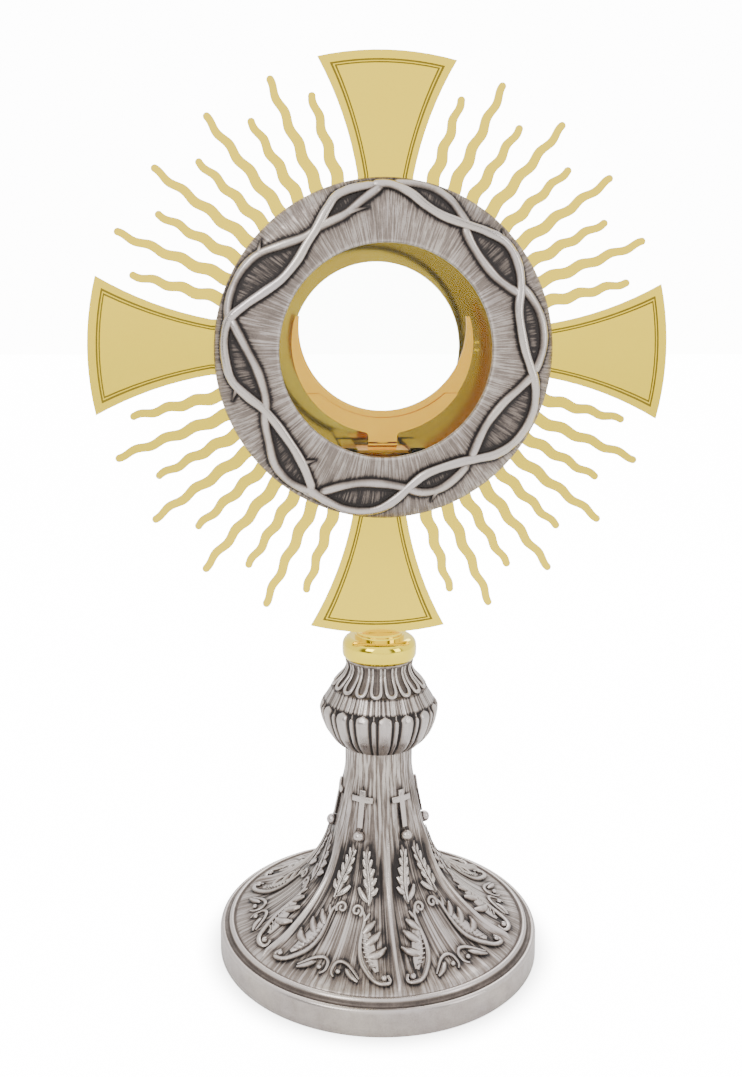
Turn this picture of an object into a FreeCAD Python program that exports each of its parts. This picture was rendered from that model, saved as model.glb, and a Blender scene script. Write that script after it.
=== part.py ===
import FreeCAD, Part
import os
from math import cos, pi, radians, sin, sqrt, tan

V = FreeCAD.Vector
ORIGIN = V(0, 0, 0)
X_AXIS = V(1, 0, 0)
Y_AXIS = V(0, 1, 0)
Z_AXIS = V(0, 0, 1)

# Monstrance, millimetres. +Z is up, -Y is the front, the origin is the centre of the foot's underside.

# ---- foot ----
BASE_R = 84.0             # outer radius of the rim
RIM_H = 13.4              # height of the rim's wall
RIM_ROUND = 1.6           # rounding of the rim's upper edge
REST_WIDTH = 6.0          # width of the flat ring that stands on the table
FLARE_TOP_H = 104.3       # height where the foot's flare has become its straight neck
NECK_STUB_H = 5.9         # straight neck above that, behind the knop's lower edge
NECK_R = 17.7             # radius of the neck
FOOT_WALL = 2.6           # wall of the hollow casting
BEAD_IN = 7.8             # how far inside the rim the flare begins, behind a raised bead
BEAD_RISE = 2.0           # height of the flare's lower edge above the rim
FOOT_TURN = 2.5           # degrees that the foot's front ridge stands off the centre line
RIDGE_COUNT = 6
RIDGE_WIDTH = 3.2
RIDGE_RISE = 1.6          # how far a ridge stands above the panels beside it
FOOT_CAP_T = 5.3          # thickness of the neck's top plate
CROSS_H = 18.0            # small cross on each panel
CROSS_SPAN = 10.0
CROSS_BAR = 2.6
CROSS_BAR_DROP = 5.6      # distance of the cross bar below the cross's top
CROSS_RISE = 1.5          # relief of the cross
CROSS_TOP_Z = 92.0
BALL_R = 3.1              # ball under each cross
BALL_Z = 70.0

# ---- tie rod through the stem ----
ROD_R = 2.95
THREAD_CLEARANCE = 0.05   # radial, between the rod and the threads that it turns in
ROD_HOLE_CLEARANCE = 0.35 # radial, between the rod and the pieces that it only passes through
ROD_BELOW_NUT = 3.5       # thread left showing below the nut
ROD_IN_POST = 16.0        # length of thread engaged in the post
WASHER_R = 9.0
WASHER_T = 1.5
NUT_ACROSS_FLATS = 10.0
NUT_T = 5.0

# ---- knop and collar ----
KNOP_H = 46.3
KNOP_R = 31.4             # radius at the widest gadroon
KNOP_WALL = 2.2
KNOP_FOOT_R = 20.0        # radius of the knop's lower edge, which overhangs the neck
KNOP_TOP_R = 17.0
KNOP_END_T = 3.0          # thickness of the knop's end plates
COLLAR_H = 13.0
COLLAR_R = 19.4           # radius of the main roll
COLLAR_EDGE_R = 17.5      # radius where the roll meets the knop
COLLAR_SHOULDER_R = 15.5  # radius where the roll's top becomes flat
COLLAR_DISC_R = 13.0
COLLAR_DISC_T = 1.6

# ---- sunburst ----
SUNBURST_R = 147.0        # radius of the outer arc of the four arms
ARM_HALF_ANGLE = 13.6     # degrees
ARM_ROOT_OUT = 1.65       # an arm's sides run straight until this far outside the crown ring
ARM_ROOT_HALF_W = 13.9
ARM_MID_R = 116.0
ARM_MID_HALF_W = 22.0
ARM_FLARE_ANGLE = 29.0    # slope of an arm's side where it meets the rim, degrees
ENGRAVING_SIDE = 3.2      # engraved border's distance from the arm's sides
ENGRAVING_RIM = 4.2       # and from its rim
ENGRAVING_W = 0.9
ENGRAVING_GAP = 0.5       # sheet left between the border's two grooves
ENGRAVING_DEPTH = 0.4
RAYS_PER_QUADRANT = 9
RAY_FIRST_ANGLE = 16.0    # degrees from the horizontal arm
RAY_STEP_ANGLE = 7.2
LONG_RAY_R = 145.0
SHORT_RAY_R = 131.0
RAY_ROOT_W = 7.4
RAY_TIP_W = 3.8
RAY_SWAY = 0.7            # how far the ray swings to each side
LONG_RAY_WAVE = 16.0      # length of one wave
SHORT_RAY_WAVE = 14.3
LONG_RAY_PHASE = 1.0      # how far beyond its tip a long ray's wave crosses its centre line
SHORT_RAY_PHASE = -1.4
RAY_LEAN = 0.028          # sideways drift of a ray for its length, towards the horizontal arm
RAY_TRUE_R = 110.0        # radius at which a leaning ray stands at its own angle
SUNBURST_TURN = 0.6       # degrees that the sunburst is turned clockwise, seen from the front
PLATE_T = 1.6
PLATE_FRONT_Y = -6.0
POST_DISC_T = 1.5         # disc between the collar and the sunburst's lowest edge
POST_DISC_R = 12.0
POST_W = 12.0
POST_T = 8.8

# ---- drum, crown ring and glasses ----
DRUM_R = 54.0             # inner radius of the drum
DRUM_WALL = 1.5
DRUM_FRONT_Y = -21.2
DRUM_BACK_Y = 24.0
FLANGE_T = 1.5
RING_WIDTH = 31.85        # width of the crown ring's face, from its opening to its outer edge
RING_FACE_Y = -26.0       # front of the ring at its opening
RING_EDGE_Y = -17.5       # front of the ring's outer skirt
RING_WALL = 2.4
RING_LIP = 1.5            # how far the lip covers the drum's bore
GLASS_T = 2.0
GLASS_CLEARANCE = 0.4     # radial, round each glass
BORE_CLEARANCE = 0.3      # radial, round the drum in the ring and the plate
SCREW_COUNT = 4
SCREW_R = 1.2
SCREW_HOLE_R = 1.4
SCREW_HEAD_R = 2.3
SCREW_HEAD_T = 1.6
SCREW_LENGTH = 9.0
BOSS_R = 3.5
SEAT_CLEARANCE = 0.02     # between a soldered piece's curved foot and the drum
VINE_LOBES = 4            # outward swings of each vine
VINE_OUT = 24.5           # a vine's centreline, where it swings out, from the ring's opening
VINE_IN = 11.0            # and where it swings in
VINE_TURN = 20.0          # degrees that the first vine's outward swing stands off the horizontal
VINE_R = 2.4
VINE_SWING_CENTRE = 33.0  # distance of the outward bends' centres from the drum's axis
VINE_Y = -24.6            # depth of the vines' centreline

# ---- rear door ----
DOOR_GAP = 0.3
DOOR_T = 4.5
DOOR_OVERLAP = 2.0        # how far the frame stands out beyond the drum
DOOR_OPENING_R = 44.5
DOOR_LIP_T = 1.5
REAR_GLASS_R = 47.4
RETAINER_T = 1.0
RETAINER_R = 45.5         # inner radius of the split ring
HINGE_PIN_R = 1.0
HINGE_CLEARANCE = 0.05
KNUCKLE_R = 2.2
HINGE_OUT = 5.0           # hinge axis outside the drum's outer wall
HINGE_BACK = 2.5          # hinge axis behind the drum's rear edge
DOOR_KNUCKLE_H = 7.0
HINGE_H = 16.0
KNUCKLE_GAP = 0.5
PIN_HEAD_R = 1.7
PIN_HEAD_T = 0.8
STRAP_T = 1.0
STRAP_REACH = 7.5
RIVET_R = 0.7
RIVET_HEAD_R = 1.3
RIVET_HEAD_T = 0.5
KNOB_R = 3.0
KNOB_L = 7.0
CATCH_T = 0.8
CATCH_W = 8.0
CATCH_GAP = 0.3           # between the catch's bump and the door's edge
CATCH_BUMP_R = 0.9

# ---- lunette and its guide rails ----
CRESCENT_R = 46.0
CRESCENT_UP = 3.2         # centre of the crescent's outer arc above the drum's centre
BACK_INNER_R = 42.4
BACK_INNER_UP = 11.2
CLIP_INNER_R = 47.0
CLIP_INNER_UP = 12.3
BACK_TIP_UP = 16.5        # height of the crescent's tips above the drum's centre
CLIP_END_DOWN = 22.4      # level where the clip's ends are cut, below the drum's centre
SHEET_T = 1.2
HOST_GAP = 0.9            # room for the wafer between crescent and clip
LUNETTE_BACK_Y = -5.8     # rear face of the crescent
NECK_HALF_W = 7.3
NECK_FILLET = 2.4
LUNETTE_HINGE_DOWN = 48.3 # hinge axis below the drum's centre
LUNETTE_KNUCKLE_R = 1.2
LUNETTE_PIN_R = 0.55
CLIP_KNUCKLE_HALF = 2.5
SIDE_GAP = 0.3
SLED_HALF_W = 12.9
SLED_FLOOR_GAP = 0.3
SLED_T = 1.4
SLED_FRONT_Y = -11.5
SLED_BACK_Y = 9.0
LUG_HALF_W = 6.0
LUG_T = 1.2
RAIL_GAP = 0.4
RAIL_T = 1.0
RAIL_RISE = 3.2           # height of a rail above the floor at its inner wall
RAIL_W = 7.5
RAIL_FRONT_Y = -15.0
RAIL_BACK_Y = 21.0

# ---- levels and radii that follow from the sizes above ----
FOOT_H = FLARE_TOP_H + NECK_STUB_H
KNOP_Z = FOOT_H
COLLAR_Z = KNOP_Z + KNOP_H
STEM_TOP_Z = COLLAR_Z + COLLAR_H
HEAD_Z = STEM_TOP_Z + POST_DISC_T + SUNBURST_R
HEAD = V(0, 0, HEAD_Z)
WASHER_Z = FOOT_H - FOOT_CAP_T - WASHER_T
NUT_Z = WASHER_Z - NUT_T
ROD_BOTTOM_Z = NUT_Z - ROD_BELOW_NUT
ROD_TOP_Z = STEM_TOP_Z + ROD_IN_POST
PASS_R = ROD_R + ROD_HOLE_CLEARANCE
THREAD_R = ROD_R + THREAD_CLEARANCE
PLATE_BACK_Y = PLATE_FRONT_Y + PLATE_T
FLANGE_BACK_Y = PLATE_BACK_Y + FLANGE_T
DRUM_OUT_R = DRUM_R + DRUM_WALL
BORE_R = DRUM_OUT_R + BORE_CLEARANCE
RING_OPENING_R = DRUM_R - RING_LIP
GLASS_SEAT_Y = DRUM_FRONT_Y - GLASS_T
RING_R = RING_OPENING_R + RING_WIDTH
ARM_ROOT_R = RING_R + ARM_ROOT_OUT
VINE_OUTER_R = RING_OPENING_R + VINE_OUT
VINE_INNER_R = RING_OPENING_R + VINE_IN
VINE_SWING_R = VINE_OUTER_R - VINE_SWING_CENTRE
SCREW_CIRCLE_R = (BORE_R + RING_R) / 2
FLANGE_R = SCREW_CIRCLE_R + SCREW_HEAD_R + 2.5
PLATE_DISC_R = RING_R - 4.0
DOOR_R = DRUM_OUT_R + DOOR_OVERLAP
DOOR_FRONT_Y = DRUM_BACK_Y + DOOR_GAP
DOOR_BACK_Y = DOOR_FRONT_Y + DOOR_T
HINGE_X = DRUM_OUT_R + HINGE_OUT
HINGE_Y = DRUM_BACK_Y + HINGE_BACK
CLIP_BACK_Y = LUNETTE_BACK_Y - SHEET_T - HOST_GAP
LUNETTE_HINGE_Y = CLIP_BACK_Y - SHEET_T / 2
LUNETTE_HINGE_Z = HEAD_Z - LUNETTE_HINGE_DOWN
SLED_BOTTOM = -sqrt((DRUM_R - SLED_FLOOR_GAP) ** 2 - SLED_HALF_W ** 2)
SLED_TOP = SLED_BOTTOM + SLED_T


# ---- helpers ----
def polyline(points):
    return [Part.LineSegment(a, b).toShape() for a, b in zip(points, points[1:])]


def curve(points):
    spline = Part.BSplineCurve()
    spline.interpolate(points)
    return [spline.toShape()]


def arc(a, b, c):
    return [Part.Arc(a, b, c).toShape()]


def face_of(edges):
    return Part.Face(Part.Wire(Part.__sortEdges__(edges)))


def turn_upright(edges):
    """Revolves an outline, drawn in the XZ plane, about the stem's axis."""
    return face_of(edges).revolve(ORIGIN, Z_AXIS, 360)


def rz(r, z):
    return V(r, 0, z)


def ry(r, y):
    """A point of a head piece's outline: radius from the drum's axis, and depth."""
    return V(r, y, HEAD_Z)


def turn_head(points):
    """Revolves a closed outline of straight runs about the drum's axis."""
    closed = points + points[:1]
    return face_of(polyline(closed)).revolve(HEAD, Y_AXIS, 360)


def tube(r_in, r_out, front_y, back_y):
    outer = Part.makeCylinder(r_out, back_y - front_y, V(0, front_y, HEAD_Z), Y_AXIS)
    inner = Part.makeCylinder(r_in, back_y - front_y + 2, V(0, front_y - 1, HEAD_Z), Y_AXIS)
    return outer.cut(inner)


def disc(radius, front_y, back_y, x=0.0, up=0.0):
    return Part.makeCylinder(radius, back_y - front_y, V(x, front_y, HEAD_Z + up), Y_AXIS)


def block(x0, x1, y0, y1, z0, z1):
    return Part.makeBox(x1 - x0, y1 - y0, z1 - z0, V(x0, y0, z0))


def head_block(x0, x1, y0, y1, up0, up1):
    return block(x0, x1, y0, y1, HEAD_Z + up0, HEAD_Z + up1)


def upright_rod(radius, x, y, z0, z1):
    return Part.makeCylinder(radius, z1 - z0, V(x, y, z0), Z_AXIS)


def cross_rod(radius, x0, x1, y, z):
    return Part.makeCylinder(radius, x1 - x0, V(x0, y, z), X_AXIS)


def write(name, shape):
    clean = shape.removeSplitter()
    clean.exportStep("parts/%s.step" % name)
    print(name, "solids", len(clean.Solids), "valid", clean.isValid(), "volume", round(clean.Volume, 1))


# ---- stem ----
# Flare of the foot: share of the way from neck to rim, and share of the height above the rim.
FLARE = [(1.000, 0.000), (0.896, 0.033), (0.726, 0.076), (0.556, 0.146), (0.408, 0.225),
         (0.289, 0.316), (0.206, 0.412), (0.156, 0.505), (0.113, 0.604), (0.070, 0.706),
         (0.034, 0.812), (0.000, 0.909), (0.000, 1.000)]


def flare_points(lift):
    """The foot's outer curve, moved outward by lift at right angles to itself, from rim to neck."""
    reach = BASE_R - BEAD_IN - NECK_R
    low_z = RIM_H + BEAD_RISE
    rise = FLARE_TOP_H - low_z
    base = [(NECK_R + a * reach, low_z + b * rise) for a, b in FLARE]
    points = []
    for i, (r, z) in enumerate(base):
        before = base[max(i - 1, 0)]
        after = base[min(i + 1, len(base) - 1)]
        along_r = after[0] - before[0]
        along_z = after[1] - before[1]
        length = sqrt(along_r ** 2 + along_z ** 2)
        points.append(rz(r + lift * along_z / length, z - lift * along_r / length))
    return points


def foot_shell():
    outer = flare_points(0.0)
    inner = flare_points(-FOOT_WALL)
    rim_in = rz(BASE_R - RIM_ROUND, RIM_H)
    cove = rz(BASE_R - 0.75 * BEAD_IN, RIM_H + 0.3 * BEAD_RISE)
    rim_round = arc(rz(BASE_R, RIM_H - RIM_ROUND),
                    rz(BASE_R - 0.3 * RIM_ROUND, RIM_H - 0.3 * RIM_ROUND),
                    rz(BASE_R - RIM_ROUND, RIM_H))
    under_cap = FOOT_H - FOOT_CAP_T
    inner_low = [p for p in inner if p.z < under_cap - 4]
    neck_in = NECK_R - FOOT_WALL
    edges = polyline([rz(BASE_R - REST_WIDTH, 0), rz(BASE_R, 0), rz(BASE_R, RIM_H - RIM_ROUND)])
    edges += rim_round
    edges += arc(rim_in, rz(BASE_R - 0.5 * BEAD_IN, RIM_H - 0.4), cove)
    edges += arc(cove, rz(BASE_R - 0.87 * BEAD_IN, RIM_H + 1.15 * BEAD_RISE), outer[0])
    edges += curve(outer)
    edges += polyline([outer[-1], rz(NECK_R, FOOT_H), rz(PASS_R, FOOT_H), rz(PASS_R, under_cap),
                       rz(neck_in, under_cap), inner_low[-1]])
    edges += curve(inner_low)
    edges += polyline([inner_low[0], rz(BASE_R - REST_WIDTH, inner_low[0].z - 1.0),
                       rz(BASE_R - REST_WIDTH, 0)])
    return turn_upright(edges)


def foot_ridge():
    """One raised rib down the foot, at the front, as a thin slice between two of the flare's curves."""
    top = flare_points(RIDGE_RISE)[:-2]
    low = flare_points(-FOOT_WALL / 2)[:-2]
    edges = curve(top) + polyline([top[-1], low[-1]]) + curve(low) + polyline([low[0], top[0]])
    rib = face_of(edges).extrude(V(0, RIDGE_WIDTH, 0))
    rib.translate(V(0, -RIDGE_WIDTH / 2, 0))
    rib.rotate(ORIGIN, Z_AXIS, -90)
    return rib


def flare_radius(z):
    points = flare_points(0.0)
    for low, high in zip(points, points[1:]):
        if low.z <= z <= high.z:
            return low.x + (high.x - low.x) * (z - low.z) / (high.z - low.z)
    return NECK_R


def foot_cross():
    """A small upright cross and the ball below it, leaning against the front of the flare."""
    foot_z = CROSS_TOP_Z - CROSS_H
    r_top = flare_radius(CROSS_TOP_Z)
    r_foot = flare_radius(foot_z)
    lean = (r_foot - r_top) / CROSS_H
    bar_z = CROSS_TOP_Z - CROSS_BAR_DROP
    sunk = FOOT_WALL / 2
    upright = block(-CROSS_BAR / 2, CROSS_BAR / 2, -CROSS_RISE, sunk, 0, CROSS_H)
    arms = block(-CROSS_SPAN / 2, CROSS_SPAN / 2, -CROSS_RISE, sunk, bar_z - CROSS_BAR / 2 - foot_z,
                 bar_z + CROSS_BAR / 2 - foot_z)
    cross = upright.fuse(arms)
    cross.rotate(ORIGIN, X_AXIS, -57.3 * lean)
    cross.translate(V(0, -r_foot, foot_z))
    ball = Part.makeSphere(BALL_R, V(0, -flare_radius(BALL_Z) - 0.4 * BALL_R, BALL_Z))
    return cross.fuse(ball)


def base_foot():
    foot = foot_shell()
    extras = []
    for i in range(RIDGE_COUNT):
        rib = foot_ridge()
        rib.rotate(ORIGIN, Z_AXIS, FOOT_TURN + i * 360 / RIDGE_COUNT)
        cross = foot_cross()
        cross.rotate(ORIGIN, Z_AXIS, FOOT_TURN + (i + 0.5) * 360 / RIDGE_COUNT)
        extras += [rib, cross]
    return foot.multiFuse(extras)


def tie_rod():
    return upright_rod(ROD_R, 0, 0, ROD_BOTTOM_Z, ROD_TOP_Z)


def tie_washer():
    ring = upright_rod(WASHER_R, 0, 0, WASHER_Z, WASHER_Z + WASHER_T)
    return ring.cut(upright_rod(PASS_R, 0, 0, WASHER_Z - 1, WASHER_Z + WASHER_T + 1))


def tie_nut():
    corner_r = NUT_ACROSS_FLATS / 2 / cos(radians(30))
    corners = [V(corner_r * cos(radians(60 * i)), corner_r * sin(radians(60 * i)), NUT_Z) for i in range(7)]
    hexagon = face_of(polyline(corners)).extrude(V(0, 0, NUT_T))
    return hexagon.cut(upright_rod(THREAD_R, 0, 0, NUT_Z - 1, NUT_Z + NUT_T + 1))


# Knop outline: share of its height, and share of the way from its foot radius to its widest.
KNOP_SHAPE = [(0.000, 0.00), (0.039, 0.20), (0.102, 0.46), (0.179, 0.69), (0.240, 0.80), (0.305, 0.91),
              (0.363, 0.97), (0.413, 1.00), (0.460, 0.95), (0.508, 0.83), (0.572, 0.65), (0.652, 0.43),
              (0.728, 0.25), (0.793, 0.03), (0.844, -0.13), (0.909, -0.23)]


def knop_points(inset):
    swell = KNOP_R - KNOP_FOOT_R
    return [rz(KNOP_FOOT_R + b * swell - inset, KNOP_Z + a * KNOP_H) for a, b in KNOP_SHAPE]


def knop():
    outer = knop_points(0.0)
    inner = knop_points(KNOP_WALL)
    top_z = KNOP_Z + KNOP_H
    floor_z = KNOP_Z + KNOP_END_T
    ceiling_z = top_z - KNOP_END_T
    inner = [p for p in inner if floor_z + 1 < p.z < ceiling_z - 1]
    edges = polyline([rz(PASS_R, KNOP_Z), outer[0]])
    edges += curve(outer)
    edges += polyline([outer[-1], rz(KNOP_TOP_R, top_z), rz(PASS_R, top_z), rz(PASS_R, ceiling_z),
                       rz(inner[-1].x, ceiling_z), inner[-1]])
    edges += curve(inner)
    edges += polyline([inner[0], rz(KNOP_FOOT_R, floor_z), rz(PASS_R, floor_z), rz(PASS_R, KNOP_Z)])
    return turn_upright(edges)


def collar():
    """Turned collar: one broad polished roll on the knop, and a smaller disc that carries the post."""
    disc_z = STEM_TOP_Z - COLLAR_DISC_T
    rise = disc_z - COLLAR_Z
    low = rz(COLLAR_R - 0.1, COLLAR_Z + 0.26 * rise)
    high = rz(COLLAR_R - 0.1, COLLAR_Z + 0.63 * rise)
    edges = polyline([rz(PASS_R, COLLAR_Z), rz(COLLAR_EDGE_R, COLLAR_Z)])
    edges += arc(rz(COLLAR_EDGE_R, COLLAR_Z), rz(COLLAR_R - 0.6, COLLAR_Z + 0.10 * rise), low)
    edges += arc(low, rz(COLLAR_R, COLLAR_Z + 0.45 * rise), high)
    edges += arc(high, rz(COLLAR_R - 1.2, COLLAR_Z + 0.87 * rise), rz(COLLAR_SHOULDER_R, disc_z))
    edges += polyline([rz(COLLAR_SHOULDER_R, disc_z), rz(COLLAR_DISC_R, disc_z), rz(COLLAR_DISC_R, STEM_TOP_Z),
                       rz(PASS_R, STEM_TOP_Z), rz(PASS_R, COLLAR_Z)])
    return turn_upright(edges)


def support_post():
    """Upright bar behind the lowest arm: it takes the rod's thread below, and carries the drum above."""
    disc_part = upright_rod(POST_DISC_R, 0, 0, STEM_TOP_Z, STEM_TOP_Z + POST_DISC_T)
    bar = block(-POST_W / 2, POST_W / 2, PLATE_BACK_Y, PLATE_BACK_Y + POST_T, STEM_TOP_Z, HEAD_Z - DRUM_R)
    post = disc_part.fuse(bar)
    post = post.cut(disc(DRUM_OUT_R + SEAT_CLEARANCE, PLATE_BACK_Y - 1, PLATE_BACK_Y + POST_T + 1))
    post = post.cut(disc(FLANGE_R + SEAT_CLEARANCE, PLATE_BACK_Y - 1, FLANGE_BACK_Y))
    return post.cut(upright_rod(THREAD_R, 0, 0, STEM_TOP_Z - 1, ROD_TOP_Z + 1.5))


# ---- sunburst ----
def arm(side_inset=0.0, rim_inset=0.0, root_r=PLATE_DISC_R - 6):
    """The arm along +X from the centre, drawn flat. Insets draw the same shape smaller, for the engraving."""
    half = radians(ARM_HALF_ANGLE)
    flare = radians(ARM_FLARE_ANGLE)
    rim_r = SUNBURST_R - rim_inset
    corner_up = SUNBURST_R * sin(half) - side_inset / cos(flare) - rim_inset * tan(flare)
    corner_x = sqrt(rim_r ** 2 - corner_up ** 2)

    def at(x, up):
        return V(x, PLATE_FRONT_Y, HEAD_Z + up)

    root_w = ARM_ROOT_HALF_W - side_inset
    sides = []
    for side in (1, -1):
        sides += polyline([at(root_r, side * root_w), at(ARM_ROOT_R, side * root_w)])
        sides += arc(at(ARM_ROOT_R, side * root_w), at(ARM_MID_R, side * (ARM_MID_HALF_W - 1.1 * side_inset)),
                     at(corner_x, side * corner_up))
    rim = arc(at(corner_x, corner_up), at(rim_r, 0), at(corner_x, -corner_up))
    root = polyline([at(root_r, -root_w), at(root_r, root_w)])
    return face_of(sides + rim + root)


def arm_engraving():
    """Two shallow grooves that run up both sides of an arm and along its rim."""
    grooves = []
    for offset, width in ((0.0, ENGRAVING_W), (ENGRAVING_W + ENGRAVING_GAP, 0.8 * ENGRAVING_W)):
        outer = arm(ENGRAVING_SIDE + offset, ENGRAVING_RIM + offset)
        inner = arm(ENGRAVING_SIDE + offset + width, ENGRAVING_RIM + offset + width, PLATE_DISC_R - 12)
        grooves.append(outer.cut(inner).extrude(V(0, ENGRAVING_DEPTH, 0)))
    return grooves


def ray(angle, tip_r, wave, phase, swing):
    """One wavy flame ray: a band that swings from side to side and narrows to a rounded tip."""
    root_r = PLATE_DISC_R - 5
    steps = 28
    turn = radians(angle)

    def at(along, aside):
        aside = aside - RAY_LEAN * (along - RAY_TRUE_R)
        x = along * cos(turn) - aside * sin(turn)
        up = along * sin(turn) + aside * cos(turn)
        return V(x, PLATE_FRONT_Y, HEAD_Z + up)

    left = []
    right = []
    end_r = tip_r - RAY_TIP_W / 2
    for i in range(steps + 1):
        share = i / steps
        along = root_r + share * (end_r - root_r)
        sway = swing * sin(2 * pi * (tip_r + phase - along) / wave)
        half = (RAY_ROOT_W + (RAY_TIP_W - RAY_ROOT_W) * share) / 2
        left.append(at(along, sway + half))
        right.append(at(along, sway - half))
    edges = curve(left) + arc(left[-1], at(tip_r, sway), right[-1]) + curve(right)
    edges += polyline([right[0], left[0]])
    return face_of(edges)


def screw_places():
    for i in range(SCREW_COUNT):
        turn = 2 * pi * (i + 0.5) / SCREW_COUNT
        yield SCREW_CIRCLE_R * cos(turn), SCREW_CIRCLE_R * sin(turn)


def sunburst_plate():
    thick = V(0, PLATE_T, 0)
    quadrant = []
    for k in range(RAYS_PER_QUADRANT):
        angle = RAY_FIRST_ANGLE + k * RAY_STEP_ANGLE
        if k % 2 == 0:
            flame = ray(angle, SHORT_RAY_R, SHORT_RAY_WAVE, SHORT_RAY_PHASE, -RAY_SWAY)
        else:
            flame = ray(angle, LONG_RAY_R, LONG_RAY_WAVE, LONG_RAY_PHASE, RAY_SWAY)
        quadrant.append(flame.extrude(thick))
    right_half = quadrant + [piece.mirror(HEAD, Z_AXIS) for piece in quadrant]
    pieces = right_half + [piece.mirror(HEAD, X_AXIS) for piece in right_half]
    engraved = []
    for quarter in range(4):
        one = arm().extrude(thick)
        one.rotate(HEAD, Y_AXIS, 90 * quarter)
        pieces.append(one)
        for groove in arm_engraving():
            groove.rotate(HEAD, Y_AXIS, 90 * quarter)
            engraved.append(groove)
    plate = disc(PLATE_DISC_R, PLATE_FRONT_Y, PLATE_BACK_Y).multiFuse(pieces).cut(engraved)
    plate.rotate(HEAD, Y_AXIS, SUNBURST_TURN)
    holes = [disc(BORE_R, PLATE_FRONT_Y - 1, PLATE_BACK_Y + 1)]
    for x, up in screw_places():
        holes.append(disc(SCREW_HOLE_R, PLATE_FRONT_Y - 1, PLATE_BACK_Y + 1, x, up))
    return plate.cut(Part.makeCompound(holes))


# ---- drum and crown ring ----
def vine(turn):
    """Closed wavy vine of tangent arcs: it swings out at VINE_OUTER_R and in at VINE_INNER_R."""
    step = pi / VINE_LOBES
    near = VINE_OUTER_R - VINE_SWING_R
    down = VINE_SWING_R ** 2 - near ** 2 - VINE_INNER_R ** 2 + 2 * near * VINE_INNER_R * cos(step)
    inner_bend = down / (2 * (VINE_INNER_R - near * cos(step) - VINE_SWING_R))
    far = VINE_INNER_R + inner_bend

    def at(radius, angle):
        return V(radius * cos(angle), VINE_Y, HEAD_Z + radius * sin(angle))

    edges = []
    for i in range(2 * VINE_LOBES):
        angle = turn + i * step
        outward = i % 2 == 0
        centre = at(near if outward else far, angle)
        top = at(VINE_OUTER_R if outward else VINE_INNER_R, angle)
        ends = []
        for side in (-1, 1):
            other = at(far if outward else near, angle + side * step)
            bend = VINE_SWING_R if outward else inner_bend
            ends.append(centre + (other - centre).normalize() * bend)
        edges += arc(ends[0], top, ends[1])
    path = Part.Wire(edges)
    start = edges[0].valueAt(edges[0].FirstParameter)
    along = edges[0].tangentAt(edges[0].FirstParameter)
    profile = Part.Wire(Part.makeCircle(VINE_R, start, along))
    return path.makePipeShell([profile], True, False)


# Face of the crown ring: share of its width from the opening, and share of its drop to the skirt.
CROWN_SHAPE = [(0.03, -0.02), (0.50, 0.08), (0.80, 0.38), (0.94, 0.70), (1.0, 1.0)]


def crown_ring():
    """Hollow-backed ring: a domed face, an outer skirt, an inner sleeve, four bosses and two vines."""
    sleeve_r = BORE_R + RING_WALL
    skirt_r = RING_R - RING_WALL
    drop = RING_EDGE_Y - RING_FACE_Y
    front = [ry(RING_OPENING_R + a * RING_WIDTH, RING_FACE_Y + b * drop) for a, b in CROWN_SHAPE]
    under = [ry(sleeve_r, RING_FACE_Y + 1.25 * RING_WALL),
             ry(0.5 * (sleeve_r + skirt_r), RING_FACE_Y + 1.5 * RING_WALL),
             ry(skirt_r - 1.25 * RING_WALL, RING_EDGE_Y), ry(skirt_r, RING_EDGE_Y + RING_WALL)]
    start = ry(RING_OPENING_R, (RING_FACE_Y + GLASS_SEAT_Y) / 2)
    edges = polyline([start, front[0]]) + curve(front)
    edges += polyline([front[-1], ry(RING_R, PLATE_FRONT_Y), ry(skirt_r, PLATE_FRONT_Y), under[-1]])
    edges += curve(under[::-1])
    edges += polyline([under[0], ry(sleeve_r, PLATE_FRONT_Y), ry(BORE_R, PLATE_FRONT_Y),
                       ry(BORE_R, GLASS_SEAT_Y), ry(RING_OPENING_R, GLASS_SEAT_Y), start])
    ring = face_of(edges).revolve(HEAD, Y_AXIS, 360)
    bosses = [disc(BOSS_R, RING_FACE_Y + RING_WALL + 1, PLATE_FRONT_Y, x, up) for x, up in screw_places()]
    vines = [vine(radians(VINE_TURN)), vine(radians(VINE_TURN) + pi / VINE_LOBES)]
    ring = ring.multiFuse(bosses + vines)
    hole_front = FLANGE_BACK_Y - SCREW_LENGTH - 1.0
    taps = [disc(SCREW_R + THREAD_CLEARANCE, hole_front, PLATE_FRONT_Y + 1, x, up)
            for x, up in screw_places()]
    return ring.cut(Part.makeCompound(taps))


def drum_shell():
    shell = tube(DRUM_R, DRUM_OUT_R, DRUM_FRONT_Y, DRUM_BACK_Y)
    flange = tube(DRUM_R, FLANGE_R, PLATE_BACK_Y, FLANGE_BACK_Y)
    drum = shell.fuse(flange)
    holes = [disc(SCREW_HOLE_R, PLATE_BACK_Y - 1, FLANGE_BACK_Y + 1, x, up) for x, up in screw_places()]
    holes.append(cross_rod(RIVET_R + THREAD_CLEARANCE, -DRUM_OUT_R - 1, -DRUM_R + 1, catch_screw_y(), HEAD_Z))
    return drum.cut(Part.makeCompound(holes))


def ring_screws():
    screws = []
    for x, up in screw_places():
        shank = disc(SCREW_R, FLANGE_BACK_Y - SCREW_LENGTH, FLANGE_BACK_Y, x, up)
        head = disc(SCREW_HEAD_R, FLANGE_BACK_Y, FLANGE_BACK_Y + SCREW_HEAD_T, x, up)
        slot = head_block(x - SCREW_HEAD_R, x + SCREW_HEAD_R, FLANGE_BACK_Y + SCREW_HEAD_T - 0.6,
                          FLANGE_BACK_Y + SCREW_HEAD_T + 1, up - 0.3, up + 0.3)
        screws.append(shank.fuse(head).cut(slot))
    return Part.makeCompound(screws)


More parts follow.
